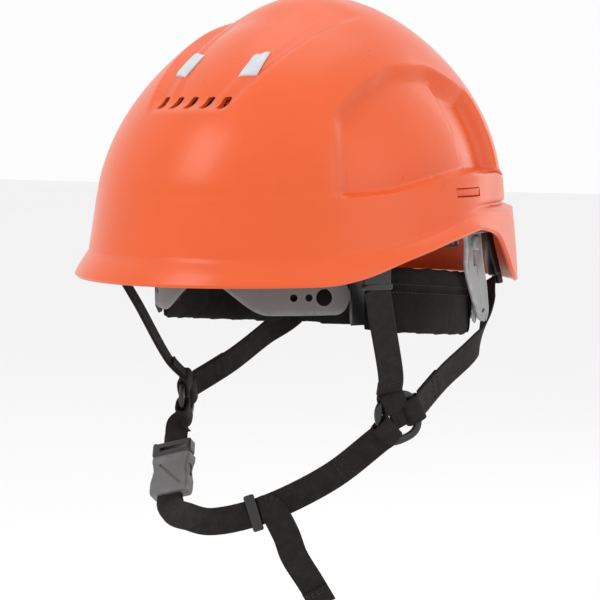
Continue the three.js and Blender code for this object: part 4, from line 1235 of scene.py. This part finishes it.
class HELMET_OT_pads(bpy.types.Operator):
    """Fills the brow, side, nape and crown pads and sews their seams"""

    bl_idname = "helmet.pads"
    bl_label = "Pads"

    def execute(self, context):
        sizes = context.scene.helmet_sizes
        plans = [
            ("brow_pad", "helmet", -3.8, 4.0, -130, -50, -17.8, -2.2, (), brow_lift),
            ("side_pad_left", "helmet", -2, 4.8, -31.2, 35.8, -34.7, 2.7, (PAD_SEAM,), pad_lift),
            ("side_pad_right", "helmet", -2, 4.8, 144.2, 211.2, -34.7, 2.7, (PAD_SEAM,), pad_lift),
            ("nape_pad", "cradle", 0.2, 4.8, 41.2, 138.8, -34.7, 2.7, (PAD_SEAM,), pad_lift),
        ]
        for node, body, offset, thickness, start, end, bottom, top, seams, lift in plans:
            pad = pad_shape(node + "_cover", offset, thickness, start, end, bottom, top, lift)
            fill_pad(pad, sizes)
            press_seams(pad, seams)
            settle(pad, body, "pad_fabric", "pad", node)
            rows = []
            for level in seams:
                angles = np.linspace(start + 2, end - 2, 60)
                for shift in (-0.0022, 0.0022):
                    for out in (offset + thickness / 2 + 0.55, offset - thickness / 2 - 0.55):
                        rows.append(ring_place(angles, out, (level + shift) / MM + lift(angles)) * MM)
            if rows:
                settle(stitch_rows(node + "_stitches", rows, sizes, 0.0005), body, "pad_fabric", "thread")
        rings, around = 9, 40
        corners, faces = [], []
        for face, low in ((1, 0.0), (-1, 3.4)):
            for r in np.linspace(0.08, 1, rings):
                for i in range(around):
                    a = 2 * math.pi * i / around
                    reach = 25 * r * (1 - 0.03 * math.cos(6 * a))
                    rim = (0.9 if face > 0 else -0.4) * r**8
                    level = 106.6 - reach * reach / 150 - low * (1 - 0.75 * r**8) - rim
                    corners.append((reach * math.cos(a) * MM, reach * math.sin(a) * MM, level * MM))
        half = rings * around
        for face in (0, half):
            for r in range(rings - 1):
                for i in range(around):
                    k = (i + 1) % around
                    here, there = face + r * around, face + (r + 1) * around
                    faces.append((here + i, here + k, there + k, there + i))
            faces.append(tuple(face + i for i in range(around)))
        for i in range(around):
            k = (i + 1) % around
            faces.append((half - around + i, half - around + k, 2 * half - around + k, 2 * half - around + i))
        crown = fill_pad(new_piece("crown_pad_cover", corners, faces), sizes)
        settle(crown, "helmet", "pad_fabric", "pad", "crown_pad")
        return {"FINISHED"}


# ---------------------------------------------------------------- rear cradle


PIVOT_X, PIVOT_Y, PIVOT_Z = 0.088, 0.034, 0.026
BUTTON_Y, BUTTON_Z, BUTTON_RADIUS = 0.038, 0.0145, 0.004
KNOB_RADIUS = 0.0112


def cross_bar(name, x, y, z, radius, sides):
    """A cutter that runs from side to side through a place."""
    return round_bar(name, (x - 0.012, y, z), (x + 0.012, y, z), radius, sides)


def arm_piece(word, side):
    """One arm of the cradle: a beaded plate with its pivot, button, slot and eye."""
    points = [[88, 29, 36], [88, 34, 26], [88, 37, 16], [84.5, 44, 4], [80, 58, -14], [77, 69, -32]]
    placed = [[side * x, y, z] for x, y, z in points]
    acrosses = [[0 if i < 3 else side * 0.1, 1, 0.35] for i in range(6)]
    widths = [13, 15, 17, 17, 15, 9]
    shares = np.linspace(0, 1, 61)
    centres, _, wide, up = strap_frames(placed, acrosses, shares)
    half = np.interp(shares, np.linspace(0, 1, 6), widths) / 2
    sections = []
    for i, share in enumerate(shares):
        ends = 1.0
        if share > 0.93:
            ends = math.sqrt(max(0.03, 1 - ((share - 0.93) / 0.07) ** 2))
        if share < 0.05:
            ends = math.sqrt(max(0.03, 1 - ((0.05 - share) / 0.05) ** 2))
        ring = []
        for x in np.linspace(-1, 1, 15):
            bead = 1.5 - 0.55 * (1 - step(abs(x), 0.70, 0.82)) - 0.9 * step(abs(x), 0.93, 1.0)
            along = step(share, 0.42, 0.5) * (1 - step(share, 0.86, 0.92))
            rib = 0.45 * (1 - step(abs(x), 0.06, 0.16)) * along
            ring.append((x * half[i] * ends, bead + rib))
        lower = [(x, -h) for x, h in ring[::-1]]
        sections.append([centres[i] + wide[i] * x + up[i] * y for x, y in ring + lower])
    piece = sweep(f"cradle_arm_{word}", np.array(sections) * MM, sharp=40)
    x = side * PIVOT_X
    holes = [
        cross_bar("pivot", x, PIVOT_Y, PIVOT_Z, 0.0033, 28),
        cross_bar("press", x, BUTTON_Y, BUTTON_Z, BUTTON_RADIUS + 0.0003, 32),
    ]
    middle, way, across, normal = (v[0] for v in strap_frames(placed, acrosses, [0.56]))
    basis = basis_of(across, way, normal)
    holes.append(block("adjust", (0.0026, 0.013, 0.02), middle * MM, basis, 0.0011, 3))
    low, way, across, normal = (v[0] for v in strap_frames(placed, acrosses, [0.93]))
    holes.append(round_bar("eye", (low - normal * 8) * MM, (low + normal * 8) * MM, 0.0016, 20))
    for hole in holes:
        cut(piece, hole)
    return piece


class HELMET_OT_cradle(bpy.types.Operator):
    """Builds the cradle's arms, press buttons and the band round the nape"""

    bl_idname = "helmet.cradle"
    bl_label = "Cradle"

    def execute(self, context):
        for word, side in SIDES:
            settle(arm_piece(word, side), "cradle", "clear_grey", "cradle", f"arm_{word}")
            inner, outer = ((side * x * MM, BUTTON_Y, BUTTON_Z) for x in (86.5, 91.3))
            button = round_bar(f"press_button_{word}", inner, outer, BUTTON_RADIUS, 40, 0.0007)
            settle(button, f"button_{word}", "clear_grey", "cradle", f"arm_button_{word}")
        band = ring_band("nape_strip", 4.5, 2, 28, 152, CRADLE_LEVEL - 8, CRADLE_LEVEL + 8, 110, 4.0)
        slots = []
        for _, side in SIDES:
            for n in range(4):
                angle = 90 + side * (26 + 4.4 * n)
                spot = ring_place(angle, 4.5, CRADLE_LEVEL) * MM
                turn = math.radians(angle)
                basis = Matrix.Rotation(
                    math.atan2(RING_HALF_LENGTH * math.cos(turn), -RING_HALF_WIDTH * math.sin(turn)), 3, "Z"
                )
                slots.append(block("slot", (0.0046, 0.012, 0.0028), spot, basis, 0.0012, 3))
        cut(band, join("nape_slots", slots))
        settle(band, "cradle", "clear_grey", "cradle", "nape_band")
        return {"FINISHED"}


class HELMET_OT_ratchet(bpy.types.Operator):
    """Builds the ratchet housing, its cover, the ribbed knob and the racks"""

    bl_idname = "helmet.ratchet"
    bl_label = "Ratchet"

    def execute(self, context):
        sizes = context.scene.helmet_sizes
        level = CRADLE_LEVEL * MM
        low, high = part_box("ratchet_housing")
        size, middle = high - low, (high + low) / 2
        housing = block("ratchet_case", size, middle, None, 0.0024, 4)
        channel = block("run", (size.x + 0.01, 0.004, 0.0148), (0, 0.1234, level))
        bore = round_bar("bore", (0, 0.1234, level), (0, high.y + 0.002, level), 0.0033, 32)
        cut(housing, join("case_cuts", [channel, bore]))
        settle(housing, "cradle", "black_plastic", "black", "ratchet_housing")
        low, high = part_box("ratchet_cover")
        cover = block("ratchet_lid", high - low, (high + low) / 2, None, 0.0007, 2)
        cut(cover, round_bar("bore", (0, low.y - 0.002, level), (0, high.y + 0.002, level), 0.0033, 32))
        settle(cover, "cradle", "black_plastic", "matt", "ratchet_cover")
        low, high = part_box("ratchet_knob")
        front = 0.1305
        wheel = round_bar("knob_wheel", (0, front, level), (0, high.y, level), KNOB_RADIUS, 72, 0.0014)
        dish = round_bar("dish", (0, high.y - 0.0012, level), (0, high.y + 0.003, level), 0.0078, 48)
        cut(wheel, dish)
        shaft = round_bar("knob_shaft", (0, low.y, level), (0, front + 0.001, level), 0.003, 32)
        middle = (front + high.y) / 2
        points = [
            (KNOB_RADIUS * math.cos(a), middle, level + KNOB_RADIUS * math.sin(a))
            for a in np.linspace(0, 2 * math.pi, sizes.knob_ribs, endpoint=False)
        ]
        ribs = loose_piece("knob_ribs", points)
        grow_threads(ribs, [[0.0, 1.0, 0.0]] * len(points), 0.0098, 0.0016, "black")
        knob = join("ratchet_wheel", [wheel, shaft, ribs])
        finish_shading(knob.data, True, 35)
        settle(knob, "knob", "black_plastic", "black", "ratchet_knob")
        dress("ratchet_pinion", "black")
        for word, _ in SIDES:
            dress(f"rack_{word}", "band")
        return {"FINISHED"}


# ---------------------------------------------------------------- harness

DIVIDER = np.array([73.0, -16.0, -79.0])
DIVIDER_REACH = 14.6
BUCKLE = np.array([-57.0, -50.0, -119.0])
BUCKLE_AXIS = unit([-0.343, 0.571, 0.743])
BUCKLE_FACE = np.array([0.037, -0.784, 0.62])
BUCKLE_FACE = unit(BUCKLE_FACE - BUCKLE_AXIS * BUCKLE_FACE.dot(BUCKLE_AXIS))
BUCKLE_ACROSS = -np.cross(BUCKLE_FACE, BUCKLE_AXIS)
CHIN_ROUTE = [[-41, -70, -133.5], [-25, -78.5, -134], [-5, -82, -134.5], [16, -67, -129], [45, -41, -111]]
KEEPER_SHARE = 0.7


def on_buckle(across, inwards, up):
    return BUCKLE + BUCKLE_ACROSS * across - BUCKLE_FACE * inwards + BUCKLE_AXIS * up


def divider_place(side):
    centre = DIVIDER * (side, 1, 1)
    return centre, unit([0.9 * side, -0.42, 0])


def divider_end(side, towards):
    centre, normal = divider_place(side)
    way = np.asarray(towards, float) - centre
    way = unit(way - normal * way.dot(normal))
    return centre + way * DIVIDER_REACH


DIVIDER_CROSSING = 5.4  # half length of the webbing where the straps cross in the divider


def divider_loop(name, side, towards, height):
    """The fold of a strap round the divider's bar."""
    centre, normal = divider_place(side)
    way = unit(divider_end(side, towards) - centre)
    across = np.cross(way, normal)
    sections, uvs = [], []
    run, before = 0.0, None
    for turn in np.linspace(0, 2 * math.pi, 44, endpoint=False):
        c, s = math.cos(turn), math.sin(turn)
        x = 5.0 * bent(c, 0.7)
        y = height * bent(s, 0.7)
        middle = centre + way * (10.2 + 1.1 * x) + normal * y
        face = unit(way * bent(c, 1.3) / 5.0 + normal * bent(s, 1.3) / height)
        run += 0 if before is None else np.linalg.norm(middle - before)
        before = middle
        shape = strap_section(7.4, 0.72)
        sections.append([middle + across * x0 + face * y0 for x0, y0 in shape])
        uvs += [(x0 * MM, run * MM) for x0, y0 in shape]
    return sweep(name, np.array(sections) * MM, closed=True, uvs=uvs, sharp=60)


def front_route(side):
    near = [side * 76, -28, -56]
    points = [[side * 87, -59, -4], [side * 83, -48, -22], near, divider_end(side, near)]
    return points, [[side * 0.42, 0.9, 0]] * 4


def rear_route(side):
    near = [side * 74, 30, -61]
    points = [
        [side * 61, 103.5, -11], [side * 63, 99, -23], [side * 68, 85, -37], [side * 73, 68, -46],
        near, divider_end(side, near),
    ]
    edge_on = [side * 0.75, -0.6, 0]
    return points, [edge_on, edge_on, [side * 0.5, -0.3, 0.6], [0, 0.25, 0.95], [0, -0.3, 1], [0, -0.4, 1]]


def buckle_route():
    end, before = on_buckle(0, 0, 22.6), on_buckle(0, 0, 29.6)
    return [divider_end(-1, before), before, end], [[-0.2, 0.9, -0.3], BUCKLE_ACROSS, BUCKLE_ACROSS]


def chin_route():
    points = [on_buckle(0, -1.6, -13.3), on_buckle(0, -1.6, -17), *CHIN_ROUTE, divider_end(1, CHIN_ROUTE[-1])]
    acrosses = [
        BUCKLE_ACROSS, BUCKLE_ACROSS, [0.7, 0.35, 0.6], [0.2, 0.35, 0.9], [0, 0.3, 0.95],
        [-0.25, 0.1, 0.95], [-0.3, -0.1, 0.9], [-0.3, -0.1, 0.9],
    ]
    return points, acrosses


def sewn_end(name, points, acrosses, start, end, body, sizes, lift):
    """The doubled end of a strap with its stitches."""
    width, thick = sizes.webbing_width / MM, sizes.webbing_thickness / MM
    fold = strap(name + "_fold", points, acrosses, width - 0.4, thick * 0.8, 14, end, lambda t: lift, start)
    settle(fold, body, "webbing", "webbing")
    inset = (end - start) * 0.12
    reach = width / 2 - 1.6
    shares = [start + inset, start + 3 * inset]
    rows = cross_rows(points, acrosses, shares, reach, thick, (1, -1))
    rows += strap_rows(points, acrosses, start + inset, start + 6 * inset, (-reach, reach), thick, (1, -1))
    settle(stitch_rows(name + "_stitches", rows, sizes), body, "webbing", "thread")


class HELMET_OT_dividers(bpy.types.Operator):
    """Builds the strap dividers and the strap folds round their bars"""

    bl_idname = "helmet.dividers"
    bl_label = "Strap dividers"

    def execute(self, context):
        sizes = context.scene.helmet_sizes
        bar = sizes.divider_bar / MM
        for word, side in SIDES:
            centre, normal = divider_place(side)
            right = np.cross([0, 0, 1], normal)
            sections = []
            for turn in np.linspace(0, 2 * math.pi, 96, endpoint=False):
                c, s = math.cos(turn - 0.3 * side), math.sin(turn - 0.3 * side)
                reach = 14.2 / (abs(c) ** 2.8 + abs(s) ** 2.8) ** (1 / 2.8)
                out = right * math.cos(turn) + np.array([0, 0, 1]) * math.sin(turn)
                middle = centre + out * (reach - bar / 2)
                ring = []
                for part in np.linspace(0, 2 * math.pi, 16, endpoint=False):
                    x, y = math.cos(part), math.sin(part)
                    ring.append(middle + out * bent(x, 0.55) * bar / 2 + normal * bent(y, 0.55) * 1.6)
                sections.append(ring)
            piece = sweep(f"divider_{word}", np.array(sections) * MM, closed=True, sharp=60)
            settle(piece, "helmet", "black_plastic", "black", f"strap_divider_{word}")
            last = buckle_route()[0][1] if side < 0 else CHIN_ROUTE[-1]
            ends = (
                ("front", front_route(side)[0][2], 2.55), ("rear", rear_route(side)[0][4], 2.9),
                ("chin", last, 3.25),
            )
            for end, towards, height in ends:
                loop = divider_loop(f"{end}_loop_{word}", side, towards, height)
                settle(loop, "helmet", "webbing", "webbing")
            way = unit(divider_end(side, front_route(side)[0][2]) - centre)
            line = [centre - way * DIVIDER_CROSSING, centre, centre + way * DIVIDER_CROSSING]
            crossing = strap(f"strap_crossing_{word}", line, [np.cross(way, normal)] * 3, 9.2, 2.4, 8)
            settle(crossing, "helmet", "webbing", "webbing")
        return {"FINISHED"}


class HELMET_OT_straps(bpy.types.Operator):
    """Weaves the harness straps between the shell, the dividers and the buckle"""

    bl_idname = "helmet.straps"
    bl_label = "Harness straps"

    def execute(self, context):
        sizes = context.scene.helmet_sizes
        width, thick = sizes.webbing_width / MM, sizes.webbing_thickness / MM
        for word, side in SIDES:
            points, acrosses = front_route(side)
            piece = strap(f"front_webbing_{word}", points, acrosses, width, thick, 60)
            settle(piece, "helmet", "webbing", "webbing", f"front_strap_{word}")
            sewn_end(f"front_end_{word}", points, acrosses, 0.70, 0.97, "helmet", sizes, -side * thick * 0.9)
            points, acrosses = rear_route(side)
            piece = strap(f"rear_webbing_{word}", points, acrosses, width, thick, 110)
            settle(piece, "helmet", "webbing", "webbing", f"rear_strap_{word}")
            sewn_end(f"rear_end_{word}", points, acrosses, 0.83, 0.975, "helmet", sizes, thick * 0.9)
        points, acrosses = buckle_route()
        piece = strap("buckle_webbing", points, acrosses, width, thick, 40)
        settle(piece, "helmet", "webbing", "webbing", "buckle_strap")
        points, acrosses = chin_route()
        piece = strap("chin_webbing", points, acrosses, width, thick, 150)
        settle(piece, "chin", "webbing", "webbing", "chin_strap")
        sewn_end("chin_end", points, acrosses, 0.87, 0.965, "chin", sizes, -thick * 0.9)
        inner = strap(
            "chin_return_webbing", points, acrosses, width, thick, 70, 0.5,
            lambda t: -2.1 - 2.4 * math.sin(math.pi * t / 0.5),
        )
        settle(inner, "chin", "webbing", "webbing", "strap_return")
        centre, way, wide, up = (v[0] for v in strap_frames(points, acrosses, [KEEPER_SHARE]))

        def on_keeper(x, y, z):
            return centre + wide * x + up * y + way * z

        basis = basis_of(wide, up, way)
        keeper = block("keeper_frame", (0.0202, 0.0067, 0.006), (0, 0, 0), None, 0.0011, 3)
        cut(keeper, block("keeper_slot", (0.0166, 0.0031, 0.012), (0, 0, 0), None, 0.0006, 2))
        keeper.data.transform(Matrix.Translation(Vector(centre * MM)) @ basis.to_4x4())
        finish_shading(keeper.data, True, 40)
        settle(keeper, "chin", "black_plastic", "black", "strap_keeper")
        points = [
            on_keeper(0, 2.2, 4), on_keeper(-0.3, 3, 9),
            [33, -66, -139], [36, -62, -152], [41, -54, -167], [45, -47, -180],
        ]
        acrosses = [
            [-0.1, 0.2, 0.95], [0, 0.3, 0.9], [0.4, 0.5, 0.6], [0.75, 0.55, 0.2], [0.82, 0.57, 0],
            [0.82, 0.57, 0],
        ]
        tail = strap("tail_webbing", points, acrosses, width, thick, 90)
        settle(tail, "chin", "webbing", "webbing", "strap_tail")
        hem = strap(
            "tail_hem", points, acrosses, width - 0.3, thick * 0.9, 16, 0.985, lambda t: thick * 0.95, 0.86
        )
        settle(hem, "chin", "webbing", "webbing")
        seams, reach = (0.88, 0.90, 0.97), width / 2 - 1.2
        rows = cross_rows(points, acrosses, seams, reach, thick, (-1,))
        rows += cross_rows(points, acrosses, seams, reach, thick * 2.8)
        settle(stitch_rows("tail_stitches", rows, sizes), "chin", "webbing", "thread")
        return {"FINISHED"}


def prism(name, around, near, far):
    """A flat solid on an outline of across and up, between two depths, in millimetres."""
    count = len(around)
    corners = [(x, near, z) for x, z in around] + [(x, far, z) for x, z in around]
    faces = [tuple(range(count)), tuple(range(2 * count - 1, count - 1, -1))]
    faces += [(i, (i + 1) % count, count + (i + 1) % count, count + i) for i in range(count)]
    return new_piece(name, np.array(corners) * MM, faces)


SOCKET_SIDE = (
    (10.4, -13), (11.6, -12.2), (12, -9.5), (12, -4.5), (11.1, -0.5), (10.6, 3), (11.2, 6.5), (12, 9),
    (12, 12), (11.2, 13),
)
TONGUE_OUTLINE = (
    (-13.0, 14.6), (-12.2, 13.3), (11, 13.3), (11.6, 14.0), (11.4, 21.4), (10.6, 22.3), (-10.4, 22.3),
    (-12.0, 23.2), (-13.1, 21.8),
)


class HELMET_OT_buckle(bpy.types.Operator):
    """Builds the side-release buckle: socket, tongue and catches"""

    bl_idname = "helmet.buckle"
    bl_label = "Buckle"

    def execute(self, context):
        basis = basis_of(BUCKLE_ACROSS, -BUCKLE_FACE, BUCKLE_AXIS)
        place = Matrix.Translation(Vector(BUCKLE * MM)) @ basis.to_4x4()
        around = [*SOCKET_SIDE, *((-x, z) for x, z in SOCKET_SIDE[::-1])]
        socket = soften(prism("socket_body", around, -4.5, 4.5), 0.0013, 4, 50)
        cavity = block("cavity", (0.0206, 0.005, 0.022), (0, 0, 0.0035), None, 0.0006, 2)
        windows = block("windows", (0.03, 0.005, 0.008), (0, 0, 0.002), None, 0.0012, 3)
        slant = Matrix.Rotation(math.radians(46), 3, "Y")
        groove = block("groove", (0.0205, 0.0022, 0.0014), (0.0006, -0.0045, -0.001), slant, 0.0005, 2)
        step_cut = block("step", (0.03, 0.0014, 0.0044), (0, -0.0047, 0.0125), None, 0.0006, 2)
        cut(socket, join("socket_cuts", [cavity, windows]))
        cut(socket, groove)
        cut(socket, step_cut)
        socket.data.transform(place)
        finish_shading(socket.data, True, 42)
        settle(socket, "chin", "buckle_grey", "buckle", "buckle_socket")
        tongue = soften(prism("tongue_bar", TONGUE_OUTLINE, -3.0, 3.0), 0.0010, 3, 30)
        cut(tongue, block("tongue_slot", (0.017, 0.012, 0.0024), (0, 0, 0.0178), None, 0.0006, 2))
        guide = block("tongue_guide", (0.005, 0.003, 0.0144), (0, 0, 0.0076), None, 0.0008, 2)
        whole = join("tongue_frame", [tongue, guide])
        whole.data.transform(place)
        finish_shading(whole.data, True, 42)
        settle(whole, "helmet", "black_plastic", "black", "buckle_tongue")
        for word, _ in SIDES:
            dress(f"buckle_prong_{word}", "black")
        return {"FINISHED"}


# ---------------------------------------------------------------- stage


def soft_light(name, place, aim, wide, tall, power):
    light = bpy.data.lights.new(name, "AREA")
    light.shape = "RECTANGLE"
    light.size = wide
    light.size_y = tall
    light.energy = power
    lamp = bpy.data.objects.new(name, light)
    bpy.context.scene.collection.objects.link(lamp)
    lamp.location = place
    lamp.rotation_euler = (Vector(aim) - Vector(place)).to_track_quat("-Z", "Y").to_euler()


class HELMET_OT_stage(bpy.types.Operator):
    """Sets the floor, the soft lights and the camera"""

    bl_idname = "helmet.stage"
    bl_label = "Stage"

    def execute(self, context):
        scene = context.scene
        corners = [(x, y, -0.3) for x, y in ((-8, -8), (8, -8), (8, 8), (-8, 8))]
        floor = new_piece("floor", corners, [(0, 1, 2, 3)], None, False)
        material, tree, shader = start_material("pale_floor")
        place = object_place(tree)
        moulded = place_group(tree, GROUPS["grain"], place, grain_scale=30.0, cloud_scale=0.6)
        colour = tuple(scene.helmet_colours.floor)
        base = mix_colour(tree, moulded.outputs["Cloud"], colour, shade_of(colour, 1.02))
        tree.links.new(base, shader.inputs["Base Color"])
        set_inputs(shader, {"Roughness": 0.9, "Specular IOR Level": 0.1})
        floor.data.materials.append(material)
        world = bpy.data.worlds.new("pale_room")
        world.use_nodes = True
        set_inputs(world.node_tree.nodes["Background"], {"Color": (1, 1, 1, 1), "Strength": 0.98})
        scene.world = world
        scene.view_settings.view_transform = "Standard"
        scene.view_settings.look = "None"
        right, back = Vector((0.819, 0.574, 0)), Vector((0.571, -0.816, 0.087))
        aim = (0, 0, 0.03)
        lights = (
            ("key_softbox", right * -0.75 + back * 0.75 + Vector((0, 0, 0.95)), 0.55, 0.7, 3.6),
            ("fill_softbox", right * 1.05 + back * 0.55 + Vector((0, 0, 0.45)), 0.7, 0.9, 1.2),
            ("top_softbox", right * 0.1 + back * -0.35 + Vector((0, 0, 1.3)), 0.9, 0.7, 1.5),
            ("rim_softbox", right * 0.9 + back * -0.8 + Vector((0, 0, 0.5)), 0.3, 0.9, 0.9),
        )
        for name, spot, wide, tall, power in lights:
            soft_light(name, spot, aim, wide, tall, power)
        camera = bpy.data.cameras.new("camera")
        camera.lens = 130.9
        camera.sensor_width = 36
        camera.clip_start = 0.01
        seen = bpy.data.objects.new("camera", camera)
        scene.collection.objects.link(seen)
        target = right * -0.00284 + Vector((0, 0, -0.0192))
        seen.location = target + back.normalized() * 1.24
        seen.rotation_euler = (target - seen.location).to_track_quat("-Z", "Y").to_euler()
        scene.camera = seen
        return {"FINISHED"}


class HELMET_OT_finishes(bpy.types.Operator):
    """Mixes the plastics, fabrics and metal that the pieces are made of"""

    bl_idname = "helmet.finishes"
    bl_label = "Finishes"

    def execute(self, context):
        make_materials(context.scene.helmet_colours)
        TREES["wires"] = wire_tree()
        TREES["stitches"] = stitch_tree()
        return {"FINISHED"}


# ---------------------------------------------------------------- add-on

STEPS = (
    HELMET_OT_finishes, HELMET_OT_stage, HELMET_OT_shell, HELMET_OT_vents, HELMET_OT_suspension,
    HELMET_OT_anchors, HELMET_OT_headband, HELMET_OT_pads, HELMET_OT_cradle, HELMET_OT_ratchet,
    HELMET_OT_dividers, HELMET_OT_straps, HELMET_OT_buckle,
)


class HELMET_PT_panel(bpy.types.Panel):
    """Lists the helmet's pieces, sizes and colours"""

    bl_label = "Climbing helmet"
    bl_idname = "HELMET_PT_panel"
    bl_space_type = "VIEW_3D"
    bl_region_type = "UI"
    bl_category = "Helmet"

    def draw(self, context):
        for step_class in STEPS:
            self.layout.operator(step_class.bl_idname)
        for group in (context.scene.helmet_sizes, context.scene.helmet_colours):
            column = self.layout.column()
            for key in group.__annotations__:
                column.prop(group, key)


CLASSES = (HelmetSizes, HelmetColours, *STEPS, HELMET_PT_panel)


def register():
    for item in CLASSES:
        bpy.utils.register_class(item)
    bpy.types.Scene.helmet_sizes = PointerProperty(type=HelmetSizes)
    bpy.types.Scene.helmet_colours = PointerProperty(type=HelmetColours)


def unregister():
    del bpy.types.Scene.helmet_colours
    del bpy.types.Scene.helmet_sizes
    for item in reversed(CLASSES):
        bpy.utils.unregister_class(item)


def main():
    register()
    for step_class in STEPS:
        group, name = step_class.bl_idname.split(".")
        getattr(getattr(bpy.ops, group), name)()


if __name__ == "__main__":
    main()
